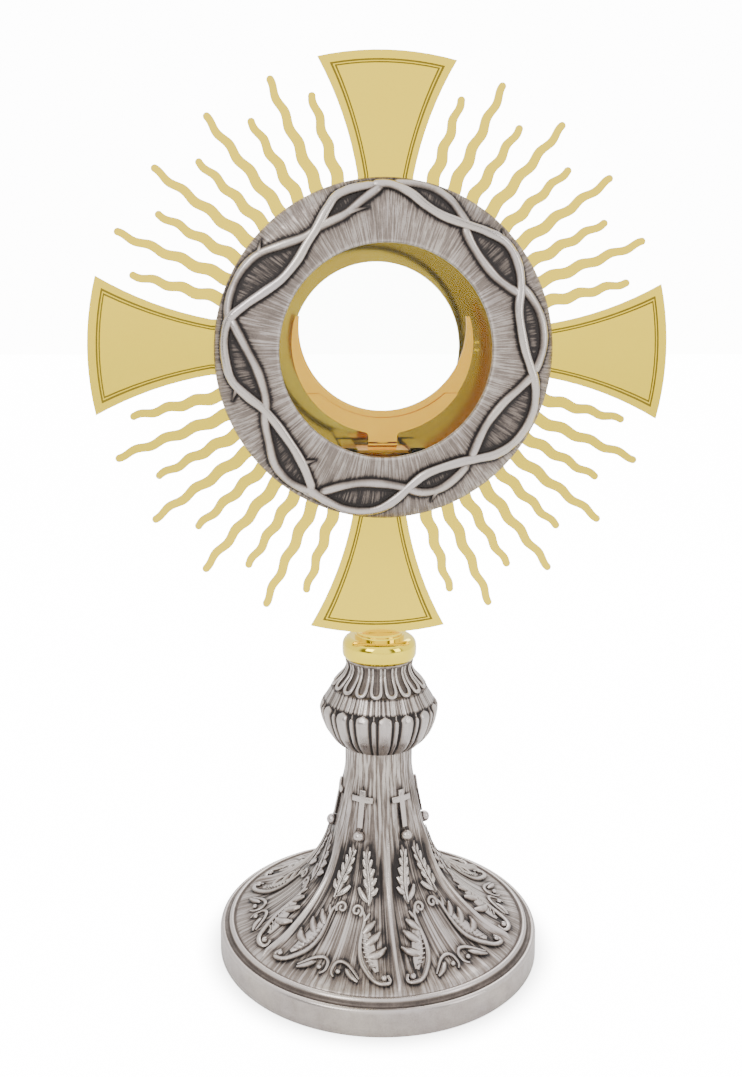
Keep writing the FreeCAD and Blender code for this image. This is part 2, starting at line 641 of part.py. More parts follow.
def front_glass():
    return disc(BORE_R - GLASS_CLEARANCE, GLASS_SEAT_Y, DRUM_FRONT_Y)


def guide_rail(side):
    """Folded rail on the drum's floor: an inner wall that guides the sled, and a top that meets the drum."""
    inner_x = SLED_HALF_W + RAIL_GAP
    floor = -sqrt(DRUM_R ** 2 - inner_x ** 2)
    top = floor + RAIL_RISE
    wall = head_block(inner_x, inner_x + RAIL_T, RAIL_FRONT_Y, RAIL_BACK_Y, floor - 3, top)
    roof = head_block(inner_x, inner_x + RAIL_W, RAIL_FRONT_Y, RAIL_BACK_Y, top - RAIL_T, top)
    rail = wall.fuse(roof).common(disc(DRUM_R - SEAT_CLEARANCE, RAIL_FRONT_Y, RAIL_BACK_Y))
    if side < 0:
        rail = rail.mirror(HEAD, X_AXIS)
    return rail


# ---- rear door ----
def drum_hinge_leaf():
    foot = head_block(DRUM_R, HINGE_X + KNUCKLE_R, DRUM_BACK_Y - 4.0, DRUM_BACK_Y - 0.1,
                      -HINGE_H / 2, HINGE_H / 2)
    foot = foot.cut(disc(DRUM_OUT_R + SEAT_CLEARANCE, DRUM_BACK_Y - 6, DRUM_BACK_Y + 1))
    pieces = []
    inner_end = DOOR_KNUCKLE_H / 2 + KNUCKLE_GAP
    for low, high in ((inner_end, HINGE_H / 2), (-HINGE_H / 2, -inner_end)):
        pieces.append(head_block(HINGE_X - 1.9, HINGE_X + KNUCKLE_R, DRUM_BACK_Y - 1, HINGE_Y, low, high))
        pieces.append(upright_rod(KNUCKLE_R, HINGE_X, HINGE_Y, HEAD_Z + low, HEAD_Z + high))
    leaf = foot.multiFuse(pieces)
    bore = upright_rod(HINGE_PIN_R + HINGE_CLEARANCE, HINGE_X, HINGE_Y, HEAD_Z - HINGE_H, HEAD_Z + HINGE_H)
    return leaf.cut(bore)


def door_hinge_pin():
    half = HINGE_H / 2
    pin = upright_rod(HINGE_PIN_R, HINGE_X, HINGE_Y, HEAD_Z - half, HEAD_Z + half)
    top = upright_rod(PIN_HEAD_R, HINGE_X, HINGE_Y, HEAD_Z + half, HEAD_Z + half + PIN_HEAD_T)
    foot = upright_rod(PIN_HEAD_R, HINGE_X, HINGE_Y, HEAD_Z - half - PIN_HEAD_T, HEAD_Z - half)
    return pin.fuse(top).fuse(foot)


def strap_rivet_places():
    x = sqrt(DOOR_R ** 2 - 9) - 0.55 * STRAP_REACH
    return [(x, 2.0), (x, -2.0)]


def door_hinge_leaf():
    half = DOOR_KNUCKLE_H / 2
    edge_x = DOOR_R - STRAP_REACH
    strap = head_block(edge_x, HINGE_X, DOOR_BACK_Y, DOOR_BACK_Y + STRAP_T, -half, half)
    bracket = head_block(DRUM_R, HINGE_X, DOOR_FRONT_Y + 0.5, DOOR_BACK_Y + STRAP_T, -half, half)
    bracket = bracket.cut(disc(DOOR_R + SEAT_CLEARANCE, DOOR_FRONT_Y - 1, DOOR_BACK_Y))
    bracket = bracket.common(head_block(DOOR_R - 2, HINGE_X, DOOR_FRONT_Y, DOOR_BACK_Y + STRAP_T,
                                        -half, half))
    knuckle = upright_rod(KNUCKLE_R, HINGE_X, HINGE_Y, HEAD_Z - half, HEAD_Z + half)
    leaf = strap.fuse(bracket).fuse(knuckle)
    cuts = [upright_rod(HINGE_PIN_R + HINGE_CLEARANCE, HINGE_X, HINGE_Y, HEAD_Z - HINGE_H, HEAD_Z + HINGE_H)]
    for x, up in strap_rivet_places():
        cuts.append(disc(RIVET_R, DOOR_BACK_Y - 1, DOOR_BACK_Y + STRAP_T + 1, x, up))
    return leaf.cut(Part.makeCompound(cuts))


def door_rivets():
    rivets = []
    for x, up in strap_rivet_places():
        shank = disc(RIVET_R, DOOR_FRONT_Y, DOOR_BACK_Y + STRAP_T, x, up)
        head = disc(RIVET_HEAD_R, DOOR_BACK_Y + STRAP_T, DOOR_BACK_Y + STRAP_T + RIVET_HEAD_T, x, up)
        rivets.append(shank.fuse(head))
    return Part.makeCompound(rivets)


def knob_x():
    return -(REAR_GLASS_R + GLASS_CLEARANCE + DOOR_R) / 2


def rear_door_frame():
    seat_y = DOOR_FRONT_Y + DOOR_LIP_T
    seat_r = REAR_GLASS_R + GLASS_CLEARANCE
    round_off = 1.2
    outline = [ry(DOOR_OPENING_R, DOOR_FRONT_Y), ry(DOOR_R, DOOR_FRONT_Y),
               ry(DOOR_R, DOOR_BACK_Y - round_off),
               ry(DOOR_R - round_off, DOOR_BACK_Y), ry(seat_r, DOOR_BACK_Y), ry(seat_r, seat_y),
               ry(DOOR_OPENING_R, seat_y)]
    frame = turn_head(outline)
    holes = [disc(RIVET_R, DOOR_FRONT_Y - 1, DOOR_BACK_Y + 1, x, up) for x, up in strap_rivet_places()]
    holes.append(disc(RIVET_R + THREAD_CLEARANCE, DOOR_BACK_Y - 3.2, DOOR_BACK_Y + 1, knob_x(), 0))
    return frame.cut(Part.makeCompound(holes))


def rear_glass():
    seat_y = DOOR_FRONT_Y + DOOR_LIP_T
    return disc(REAR_GLASS_R, seat_y, seat_y + GLASS_T)


def rear_glass_retainer():
    """Split spring ring that holds the glass in the door."""
    back_y = DOOR_BACK_Y
    ring = tube(RETAINER_R, REAR_GLASS_R + GLASS_CLEARANCE - 0.05, back_y - RETAINER_T, back_y)
    split = head_block(-1.0, 1.0, back_y - RETAINER_T - 1, back_y + 1, 0, DOOR_R)
    return ring.cut(split)


def door_knob():
    """Small turned knob with a waist, and the spigot that fixes it in the door frame."""
    x = knob_x()

    def at(r, out):
        return V(x + r, DOOR_BACK_Y + out, HEAD_Z)

    waist = 0.5 * KNOB_R
    edges = polyline([at(0, -3.0), at(RIVET_R, -3.0), at(RIVET_R, 0), at(0.75 * KNOB_R, 0)])
    edges += arc(at(0.75 * KNOB_R, 0), at(waist, 0.22 * KNOB_L), at(0.8 * KNOB_R, 0.42 * KNOB_L))
    edges += arc(at(0.8 * KNOB_R, 0.42 * KNOB_L), at(KNOB_R, 0.72 * KNOB_L), at(waist, KNOB_L))
    edges += polyline([at(waist, KNOB_L), at(0, KNOB_L), at(0, -3.0)])
    return face_of(edges).revolve(V(x, 0, HEAD_Z), Y_AXIS, 360)


def catch_screw_y():
    return DRUM_BACK_Y - 7.0


def door_catch():
    """Sprung leaf beside the door: its rounded bump grips the frame's edge."""
    inner_x = DOOR_R + CATCH_GAP + CATCH_BUMP_R
    y = catch_screw_y()
    pad = head_block(-inner_x, -DRUM_R, y - 3, y + 3, -CATCH_W / 2, CATCH_W / 2)
    pad = pad.cut(disc(DRUM_OUT_R + SEAT_CLEARANCE, y - 4, y + 4))
    leaf = head_block(-inner_x - CATCH_T, -inner_x, y - 3, DOOR_BACK_Y + 0.6, -CATCH_W / 2, CATCH_W / 2)
    bump = upright_rod(CATCH_BUMP_R, -inner_x, (DOOR_FRONT_Y + DOOR_BACK_Y) / 2, HEAD_Z - CATCH_W / 2,
                       HEAD_Z + CATCH_W / 2)
    catch = leaf.fuse(pad).fuse(bump)
    return catch.cut(cross_rod(RIVET_R + THREAD_CLEARANCE, -inner_x - 5, -DRUM_R, y, HEAD_Z))


def catch_screw():
    outer_x = -(DOOR_R + CATCH_GAP + CATCH_BUMP_R + CATCH_T)
    shank = cross_rod(RIVET_R, outer_x, -DRUM_R - 0.1, catch_screw_y(), HEAD_Z)
    head = cross_rod(2 * RIVET_R, outer_x - 0.9, outer_x, catch_screw_y(), HEAD_Z)
    return shank.fuse(head)


# ---- lunette ----
def crescent_sheet(front_y, back_y, inner_r, inner_up, top_up, neck_bottom_up):
    """Crescent with a neck below, cut from sheet, with the two corners beside the neck rounded."""
    body = disc(CRESCENT_R, front_y, back_y, 0, CRESCENT_UP)
    body = body.cut(disc(inner_r, front_y - 1, back_y + 1, 0, inner_up))
    body = body.common(head_block(-CRESCENT_R, CRESCENT_R, front_y - 1, back_y + 1, -2 * CRESCENT_R, top_up))
    neck = head_block(-NECK_HALF_W, NECK_HALF_W, front_y, back_y, neck_bottom_up,
                      CRESCENT_UP - CRESCENT_R + 3)
    body = body.fuse(neck).removeSplitter()
    corner_z = HEAD_Z + CRESCENT_UP - sqrt(CRESCENT_R ** 2 - NECK_HALF_W ** 2)
    corners = []
    for edge in body.Edges:
        middle = edge.CenterOfMass
        beside = abs(abs(middle.x) - NECK_HALF_W) < 0.01 and abs(middle.z - corner_z) < 0.01
        if beside and edge.BoundBox.YLength > 0.9 * (back_y - front_y):
            corners.append(edge)
    return body.makeFillet(NECK_FILLET, corners)


def rivet_up():
    return SLED_TOP + 2.2


def lunette_crescent():
    front_y = LUNETTE_BACK_Y - SHEET_T
    plate = crescent_sheet(front_y, LUNETTE_BACK_Y, BACK_INNER_R, BACK_INNER_UP, BACK_TIP_UP, SLED_TOP)
    pieces = []
    inner = CLIP_KNUCKLE_HALF + SIDE_GAP
    axis_up = LUNETTE_HINGE_Z - HEAD_Z
    for low, high in ((inner, NECK_HALF_W), (-NECK_HALF_W, -inner)):
        pieces.append(cross_rod(LUNETTE_KNUCKLE_R, low, high, LUNETTE_HINGE_Y, LUNETTE_HINGE_Z))
        pieces.append(head_block(low, high, LUNETTE_HINGE_Y, front_y, axis_up - 0.6, axis_up + 0.6))
    plate = plate.multiFuse(pieces)
    cuts = [cross_rod(LUNETTE_PIN_R + HINGE_CLEARANCE, -NECK_HALF_W - 1, NECK_HALF_W + 1, LUNETTE_HINGE_Y,
                      LUNETTE_HINGE_Z)]
    for x in (-0.6 * LUG_HALF_W, 0.6 * LUG_HALF_W):
        cuts.append(disc(RIVET_R, front_y, LUNETTE_BACK_Y + 1, x, rivet_up()))
    return plate.cut(Part.makeCompound(cuts))


def lunette_clip():
    front_y = CLIP_BACK_Y - SHEET_T
    axis_up = LUNETTE_HINGE_Z - HEAD_Z
    neck_bottom = axis_up + LUNETTE_KNUCKLE_R + SIDE_GAP
    clip = crescent_sheet(front_y, CLIP_BACK_Y, CLIP_INNER_R, CLIP_INNER_UP, -CLIP_END_DOWN, neck_bottom)
    tongue = head_block(-CLIP_KNUCKLE_HALF, CLIP_KNUCKLE_HALF, front_y, CLIP_BACK_Y, axis_up, neck_bottom + 1)
    knuckle = cross_rod(LUNETTE_KNUCKLE_R, -CLIP_KNUCKLE_HALF, CLIP_KNUCKLE_HALF, LUNETTE_HINGE_Y,
                        LUNETTE_HINGE_Z)
    clip = clip.fuse(tongue).fuse(knuckle)
    return clip.cut(cross_rod(LUNETTE_PIN_R + HINGE_CLEARANCE, -NECK_HALF_W, NECK_HALF_W, LUNETTE_HINGE_Y,
                              LUNETTE_HINGE_Z))


def lunette_hinge_pin():
    return cross_rod(LUNETTE_PIN_R, -NECK_HALF_W, NECK_HALF_W, LUNETTE_HINGE_Y, LUNETTE_HINGE_Z)


def lunette_foot():
    """Sled that runs between the rails, with the lug that the crescent is riveted to."""
    sled = head_block(-SLED_HALF_W, SLED_HALF_W, SLED_FRONT_Y, SLED_BACK_Y, SLED_BOTTOM, SLED_TOP)
    lug = head_block(-LUG_HALF_W, LUG_HALF_W, LUNETTE_BACK_Y, LUNETTE_BACK_Y + LUG_T, SLED_TOP - 0.5,
                     SLED_TOP + 4.6)
    foot = sled.fuse(lug)
    holes = [disc(RIVET_R, LUNETTE_BACK_Y - 0.5, LUNETTE_BACK_Y + LUG_T + 1, x, rivet_up())
             for x in (-0.6 * LUG_HALF_W, 0.6 * LUG_HALF_W)]
    return foot.cut(Part.makeCompound(holes))


def lunette_rivets():
    rivets = []
    back_y = LUNETTE_BACK_Y + LUG_T
    for x in (-0.6 * LUG_HALF_W, 0.6 * LUG_HALF_W):
        shank = disc(RIVET_R, LUNETTE_BACK_Y - SHEET_T, back_y, x, rivet_up())
        head = disc(RIVET_HEAD_R, back_y, back_y + RIVET_HEAD_T, x, rivet_up())
        rivets.append(shank.fuse(head))
    return Part.makeCompound(rivets)


PIECES = {
    "base_foot": base_foot,
    "tie_rod": tie_rod,
    "tie_washer": tie_washer,
    "tie_nut": tie_nut,
    "knop": knop,
    "collar": collar,
    "support_post": support_post,
    "sunburst_plate": sunburst_plate,
    "crown_ring": crown_ring,
    "drum_shell": drum_shell,
    "ring_screws": ring_screws,
    "front_glass": front_glass,
    "drum_hinge_leaf": drum_hinge_leaf,
    "door_hinge_pin": door_hinge_pin,
    "door_catch": door_catch,
    "catch_screw": catch_screw,
    "rear_door_frame": rear_door_frame,
    "door_hinge_leaf": door_hinge_leaf,
    "door_rivets": door_rivets,
    "rear_glass": rear_glass,
    "rear_glass_retainer": rear_glass_retainer,
    "door_knob": door_knob,
    "lunette_crescent": lunette_crescent,
    "lunette_foot": lunette_foot,
    "lunette_rivets": lunette_rivets,
    "lunette_hinge_pin": lunette_hinge_pin,
    "lunette_clip": lunette_clip,
}


def main():
    os.makedirs("parts", exist_ok=True)
    for name, make in PIECES.items():
        write(name, make())
    write("guide_rail_right", guide_rail(1))
    write("guide_rail_left", guide_rail(-1))


main()
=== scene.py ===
from math import cos, pi, radians, sin

import bmesh
import bpy
import numpy as np
from bpy.props import FloatProperty, FloatVectorProperty, IntProperty, PointerProperty
from bpy.types import Operator, Panel, PropertyGroup
from mathutils import Matrix, Vector, kdtree


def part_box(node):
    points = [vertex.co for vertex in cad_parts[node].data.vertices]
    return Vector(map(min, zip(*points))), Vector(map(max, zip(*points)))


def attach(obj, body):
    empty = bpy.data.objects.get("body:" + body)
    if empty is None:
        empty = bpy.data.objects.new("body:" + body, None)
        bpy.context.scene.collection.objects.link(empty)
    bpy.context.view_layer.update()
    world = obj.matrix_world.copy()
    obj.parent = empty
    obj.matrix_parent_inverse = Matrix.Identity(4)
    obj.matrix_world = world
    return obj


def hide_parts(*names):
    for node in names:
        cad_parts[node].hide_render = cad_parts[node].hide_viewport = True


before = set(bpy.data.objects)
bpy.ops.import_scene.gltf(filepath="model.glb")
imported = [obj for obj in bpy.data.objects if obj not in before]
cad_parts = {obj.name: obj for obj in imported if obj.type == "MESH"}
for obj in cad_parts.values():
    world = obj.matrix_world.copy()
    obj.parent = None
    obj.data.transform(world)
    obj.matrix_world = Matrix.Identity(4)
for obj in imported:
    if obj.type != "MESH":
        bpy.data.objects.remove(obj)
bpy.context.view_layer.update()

bl_info = {
    "name": "Monstrance",
    "version": (1, 0, 0),
    "blender": (4, 5, 0),
    "location": "3D View > Sidebar > Monstrance",
    "description": "Castings, finishes and studio for a monstrance with a sunburst and a thorn-vine ring",
    "category": "Add Mesh",
}

MM = 0.001
HEAD = (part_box("crown_ring")[0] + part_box("crown_ring")[1]) / 2
HEAD_Z = HEAD.z / MM                                # height of the drum's axis
FOOT_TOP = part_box("base_foot")[1].z / MM            # joint between the foot and the knop
RIM_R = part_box("base_foot")[1].x / MM
KNOP_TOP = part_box("knop")[1].z / MM                 # joint between the knop and the collar
PLATE_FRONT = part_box("sunburst_plate")[0].y
RING_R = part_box("crown_ring")[1].x / MM
RING_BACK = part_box("crown_ring")[1].y / MM
ROD_HOLE_R = 3.3
# Centre and flattening factors of the coordinates that run round the stem.
STEM = (0.0, 0.0, 0.0)
ROUND_STEM = (1.0, 1.0, 0.0)
ROUND_DRUM = (1.0, 0.0, 1.0)


# ---- sizes and colours that a user would change ----
def colour(name, description, value):
    return FloatVectorProperty(name=name, description=description, subtype="COLOR", size=3,
                               min=0.0, max=1.0, default=value)


def length(name, description, millimetres):
    return FloatProperty(name=name, description=description, unit="LENGTH", default=millimetres * MM)


class FootSizes(PropertyGroup):
    columns: IntProperty(name="Columns", description="Facets round the foot", default=384, min=96)
    ridge_rise: length("Ridge rise", "Height of a ridge's crest above the flare", 1.7)
    hollow: length("Panel hollow", "Depth of the hollow between two ridges", 1.1)
    wall: length("Wall", "Thickness of the hollow casting", 2.6)
    ball: length("Ball radius", "Ball under each small cross", 2.9)


class KnopSizes(PropertyGroup):
    gadroons: IntProperty(name="Gadroons", description="Wide gadroons round the knop", default=16, min=6)
    tongues: IntProperty(name="Tongues", description="Hanging tongues round the knop's shoulder",
                         default=18, min=6)
    swell: length("Gadroon swell", "How far a gadroon stands out", 1.3)


class CrownSizes(PropertyGroup):
    columns: IntProperty(name="Columns", description="Facets round the ring", default=540, min=120)
    vine: length("Vine radius", "Half the width of a vine", 2.5)
    sunk: length("Sunk lens", "Depth of the face between two vines", 0.9)


class Colours(PropertyGroup):
    silver: colour("Silver", "Worn, bright silver", (0.50, 0.45, 0.405))
    # This dark colour also serves for the painted shade beside and under the relief.
    patina: colour("Patina", "Dark oxide in the recesses", (0.022, 0.018, 0.017))
    sheet: colour("Sheet gold", "Plated sunburst sheet", (0.87, 0.645, 0.050))
    engraving: colour("Engraving", "Olive tint in the engraved borders", (0.20, 0.145, 0.020))
    polished: colour("Polished gold", "Collar and small fittings", (0.90, 0.70, 0.055))
    drum: colour("Drum gold", "Satin inside of the drum", (0.38, 0.272, 0.034))
    lunette: colour("Lunette gold", "Holder for the host", (0.82, 0.44, 0.035))
    steel: colour("Steel", "Rod, nut and screws", (0.56, 0.57, 0.58))


class StageSizes(PropertyGroup):
    eye: FloatVectorProperty(name="Camera", description="Where the camera stands", subtype="TRANSLATION",
                             unit="LENGTH", size=3, default=(-0.0646, -0.5833, 0.3456))
    yaw: FloatProperty(name="Yaw", description="Camera's turn to the left of straight ahead",
                       subtype="ANGLE", default=-0.0817)
    pitch: FloatProperty(name="Pitch", description="Camera's tilt below level", subtype="ANGLE",
                         default=0.1083)
    roll: FloatProperty(name="Roll", description="Camera's roll", subtype="ANGLE", default=0.0038)
    lens: FloatProperty(name="Lens", description="Focal length, mm", default=38.44)
    backdrop: FloatProperty(name="Backdrop", description="Brightness of the white backdrop", default=14.0)


# ---- finishes ----
class Value:
    """A socket that takes part in Python arithmetic: each operation adds its Math node."""

    def __init__(self, finish, socket):
        self.finish = finish
        self.socket = socket

    def maths(self, operation, a, b=0.0):
        return self.finish.node("ShaderNodeMath", {"operation": operation}, {0: a, 1: b})

    def __add__(self, other):
        return self.maths("ADD", self, other)

    def __sub__(self, other):
        return self.maths("SUBTRACT", self, other)

    def __rsub__(self, other):
        return self.maths("SUBTRACT", other, self)

    def __mul__(self, other):
        return self.maths("MULTIPLY", self, other)

    def __truediv__(self, other):
        return self.maths("DIVIDE", self, other)

    __radd__ = __add__
    __rmul__ = __mul__

    def high(self, other):
        return self.maths("MAXIMUM", self, other)

    def low(self, other):
        return self.maths("MINIMUM", self, other)

    def clamp(self):
        return self.high(0.0).low(1.0)

    def band(self, start, end):
        """0 up to start, 1 from end, and smooth in between."""
        return self.finish.node("ShaderNodeMapRange", {"interpolation_type": "SMOOTHSTEP"},
                                {"Value": self, "From Min": start, "From Max": end})


class Finish:
    """A node tree under construction, for a material or for the world. Settings are set before sockets."""

    def __init__(self, owner):
        owner.use_nodes = True
        self.owner = owner
        self.tree = owner.node_tree
        self.tree.nodes.clear()

    def node(self, kind, settings=(), inputs=(), output=0):
        made = self.tree.nodes.new(kind)
        for key, value in dict(settings).items():
            setattr(made, key, value)
        for key, value in dict(inputs).items():
            if isinstance(value, Value):
                self.tree.links.new(value.socket, made.inputs[key])
            else:
                made.inputs[key].default_value = value
        return Value(self, made.outputs[output])

    def vector(self, operation, a, b=(0.0, 0.0, 0.0)):
        return self.node("ShaderNodeVectorMath", {"operation": operation}, {0: a, 1: b})

    def scaled(self, a, factor):
        return self.node("ShaderNodeVectorMath", {"operation": "SCALE"}, {0: a, "Scale": factor})

    def place(self):
        """Object coordinates, in metres."""
        return self.node("ShaderNodeTexCoord", output="Object")

    def parts(self, vector):
        made = self.node("ShaderNodeSeparateXYZ", inputs={0: vector}).socket.node
        return [Value(self, made.outputs[i]) for i in range(3)]

    def stored(self, name):
        return self.node("ShaderNodeAttribute", {"attribute_name": name}, output="Fac")

    def noise(self, vector, scale, detail, roughness):
        return self.node("ShaderNodeTexNoise", {"noise_dimensions": "3D"},
                         {"Vector": vector, "Scale": scale, "Detail": detail, "Roughness": roughness})

    def blend(self, mask, a, b):
        """Colour a where the mask is 0, b where it is 1."""
        inputs = {0: mask, 6: a if isinstance(a, Value) else (*a, 1.0),
                  7: b if isinstance(b, Value) else (*b, 1.0)}
        return self.node("ShaderNodeMix", {"data_type": "RGBA"}, inputs, output=2)

    def bump(self, height, distance, strength):
        return self.node("ShaderNodeBump", inputs={"Height": height, "Distance": distance,
                                                   "Strength": strength})

    def surface(self, **inputs):
        named = {key.replace("_", " "): value for key, value in inputs.items()}
        return self.end(self.node("ShaderNodeBsdfPrincipled", inputs=named), "ShaderNodeOutputMaterial")

    def end(self, shader, kind):
        made = self.tree.nodes.new(kind)
        self.tree.links.new(shader.socket, made.inputs["Surface"])
        return self.owner


def material(name):
    return Finish(bpy.data.materials.new(name))


def times(tint, factors):
    """A colour with each channel multiplied."""
    return [x * y for x, y in zip(tint, factors)]


def lines_from_axis(f, across, along, centre, flat):
    """Coordinates for marks that run away from an axis: they change quickly round it, and slowly along."""
    place = f.vector("SUBTRACT", f.place(), centre)
    spoke = f.vector("MULTIPLY", place, flat)
    out = f.node("ShaderNodeVectorMath", {"operation": "LENGTH"}, {0: spoke}, output="Value")
    round_it = f.scaled(f.vector("NORMALIZE", spoke), across)
    axis = f.vector("MULTIPLY", place, [along * (1.0 - x) for x in flat])
    level = f.node("ShaderNodeCombineXYZ", inputs={i: out * (along * (1.0 - x)) for i, x in enumerate(flat)
                                                   if x == 0.0})
    return f.vector("ADD", f.vector("ADD", round_it, axis), level)


def oxidised_silver(name, centre, flat, fine, coarse, cut_depth=0.6):
    """Silver-plated casting: bright where worn and where highlights are painted, near black where oxide and
    painted shade fill the recesses, with tooled lines.
    """
    f = material(name)
    tints = bpy.context.scene.monstrance_colours
    patina = f.stored("patina")
    grain = f.stored("grain")
    near = f.stored("near_axis")
    wide_lines = f.noise(lines_from_axis(f, fine, 55.0, centre, flat), 1.0, 3.0, 0.62)
    tight_lines = f.noise(lines_from_axis(f, coarse, 55.0, centre, flat), 1.0, 3.0, 0.62)
    lines = wide_lines + (tight_lines - wide_lines) * near
    cuts = lines.band(0.40, 0.62)
    mottle = f.noise(f.place(), 160.0, 4.0, 0.6)
    cloud = f.noise(f.place(), 28.0, 2.0, 0.5)
    speck = f.noise(f.place(), 1500.0, 2.0, 0.6)
    # The stored value brings oxide in the hollows, painted shade beside and under the relief, and painted
    # highlights on its tops.
    dark = (patina + (0.5 - cuts) * grain * cut_depth + (mottle - 0.5) * 0.30 + (cloud - 0.5) * 0.22
            + (speck - 0.5) * 0.22).clamp()
    cool = times(tints.silver, (0.97, 0.97, 1.04))
    worn = f.blend(cloud.band(0.35, 0.65), tuple(tints.silver), cool)
    aged_and_shaded = f.blend(dark.band(0.05, 0.55), worn, times(tints.silver, (0.42, 0.38, 0.36)))
    tone = f.blend(dark.band(0.40, 1.0), aged_and_shaded, tuple(tints.patina))
    height = cuts * grain + speck * 0.15 + mottle * 0.25
    return f.surface(Base_Color=tone, Metallic=1.0 - dark * 0.35, Roughness=0.25 + dark * 0.30,
                     Normal=f.bump(height, 0.00022, 0.55))


def engraved_sheet():
    """Pale plated sheet: nearly a mirror, with handling haze, and olive tint in the engraved borders."""
    f = material("sheet_gold")
    tints = bpy.context.scene.monstrance_colours
    place = f.place()
    _, depth, _ = f.parts(place)
    _, backwards, _ = f.parts(f.node("ShaderNodeNewGeometry", output="Normal"))
    below_face = depth.band(PLATE_FRONT + 0.10 * MM, PLATE_FRONT + 0.25 * MM)
    before_back = 1.0 - depth.band(PLATE_FRONT + 0.5 * MM, PLATE_FRONT + 0.6 * MM)
    sunk = below_face * before_back * (1.0 - backwards.band(-0.8, -0.4))
    haze = f.noise(place, 22.0, 3.0, 0.6)
    rub = f.noise(f.vector("MULTIPLY", place, (900.0, 60.0, 140.0)), 1.0, 2.0, 0.5)
    sway = f.noise(place, 9.0, 1.0, 0.4)
    tone = f.blend(haze.band(0.3, 0.7), tuple(tints.sheet), times(tints.sheet, (1.0, 0.985, 0.93)))
    tone = f.blend(sunk, tone, tuple(tints.engraving))
    return f.surface(Base_Color=tone, Metallic=1.0, Roughness=0.13 + haze * 0.08 + rub * 0.03 + sunk * 0.25,
                     Normal=f.bump(sway + rub * 0.004, 0.0020, 0.35))


def plated(name, tint, rough, streak, flat=ROUND_STEM, centre=STEM):
    """Turned or drawn gold plate: fine marks round the axis, faint haze, darker towards old handling."""
    f = material(name)
    place = f.vector("SUBTRACT", f.place(), centre)
    stretched = f.vector("MULTIPLY", place, [streak if x == 0.0 else 12.0 for x in flat])
    turned_marks = f.noise(stretched, 1.0, 3.0, 0.6)
    haze = f.noise(f.place(), 45.0, 3.0, 0.6)
    tone = f.blend(haze.band(0.30, 0.75), tint, times(tint, (0.95, 0.90, 0.80)))
    return f.surface(Base_Color=tone, Metallic=1.0, Roughness=rough + haze * 0.06 + turned_marks * 0.04,
                     Normal=f.bump(turned_marks, 0.00003, 0.4))


def plated_steel():
    f = material("zinc_plated_steel")
    tint = tuple(bpy.context.scene.monstrance_colours.steel)
    _, _, up = f.parts(f.place())
    thread = f.node("ShaderNodeMath", {"operation": "PINGPONG"}, {0: up, 1: 0.0005}) / 0.0005
    spangle = f.noise(f.place(), 420.0, 3.0, 0.6)
    tone = f.blend(spangle.band(0.3, 0.7), tint, times(tint, (0.82, 0.84, 0.86)))
    return f.surface(Base_Color=tone, Metallic=1.0, Roughness=0.30 + spangle * 0.15,
                     Normal=f.bump(thread + spangle * 0.1, 0.00012, 0.5))


def clear_glass():
    """Thin clear pane: it lets the view through, and reflects more towards its edges."""
    f = material("clear_glass")
    smear = f.noise(f.place(), 30.0, 3.0, 0.6)
    pane = f.node("ShaderNodeBsdfTransparent", inputs={"Color": (0.975, 0.985, 0.975, 1.0)})
    gloss = f.node("ShaderNodeBsdfPrincipled", inputs={"Base Color": (0.93, 0.96, 0.95, 1.0), "Metallic": 1.0,
                                                       "Roughness": 0.02 + smear * 0.03})
    weight = f.node("ShaderNodeFresnel", inputs={"IOR": 1.22})
    shader = f.node("ShaderNodeMixShader", inputs={0: weight, 1: pane, 2: gloss})
    return f.end(shader, "ShaderNodeOutputMaterial")


# ---- shapes ----
def ease(x, start, end):
    t = np.clip((x - start) / (end - start), 0.0, 1.0)
    return t * t * (3.0 - 2.0 * t)


def bell(x, middle, width):
    return np.exp(-((x - middle) / width) ** 2)


def smooth_line(points, steps):
    """A smooth line through the points, with that many steps to a span."""
    p = np.array(points, float)
    p = np.vstack([2 * p[0] - p[1], p, 2 * p[-1] - p[-2]])
    t = np.linspace(0.0, 1.0, steps, endpoint=False)[:, None]
    spans = [0.5 * (2 * b + (c - a) * t + (2 * a - 5 * b + 4 * c - d) * t ** 2
                    + (3 * b - a - 3 * c + d) * t ** 3)
             for a, b, c, d in zip(p, p[1:], p[2:], p[3:])]
    return np.vstack(spans + [p[-2:-1]])


class Turned:
    """A surface turned about the stem: its radius and outward normal at each height, with relief on top.

    Turns are measured from the front, towards +X.
    """

    def __init__(self, outline, relief):
        line = np.array(outline, float)
        run = np.gradient(line, axis=0)
        run /= np.linalg.norm(run, axis=1)[:, None]
        self.radius, self.level = line.T
        self.out, self.rise = run[:, 1], -run[:, 0]
        self.relief = relief

    def frame(self, level):
        return [np.interp(level, self.level, column) for column in (self.radius, self.out, self.rise)]

    def point(self, turn, level, lift=0.0):
        """Millimetre coordinates of places on the surface, lifted off it along its normal."""
        radius, out, rise = self.frame(level)
        high = self.relief(turn, level) + lift
        r = radius + out * high
        return np.column_stack([r * np.sin(turn), -r * np.cos(turn), level + rise * high])

    def split(self, xyz):
        """Turn, level and height above the surface of points in millimetres."""
        turn = np.arctan2(xyz[:, 0], -xyz[:, 1])
        level = xyz[:, 2]
        radius, out, rise = self.frame(level)
        high = (np.hypot(xyz[:, 0], xyz[:, 1]) - radius) * out - self.relief(turn, level)
        return turn, level, high, out, rise

    def pressed(self, xyz, share):
        """The points with their height above the surface cut to a share."""
        turn, _, high, out, rise = self.split(xyz)
        give = high * (share - 1.0)
        moved = np.column_stack([give * out * np.sin(turn), -give * out * np.cos(turn), give * rise])
        return xyz + moved, high * share


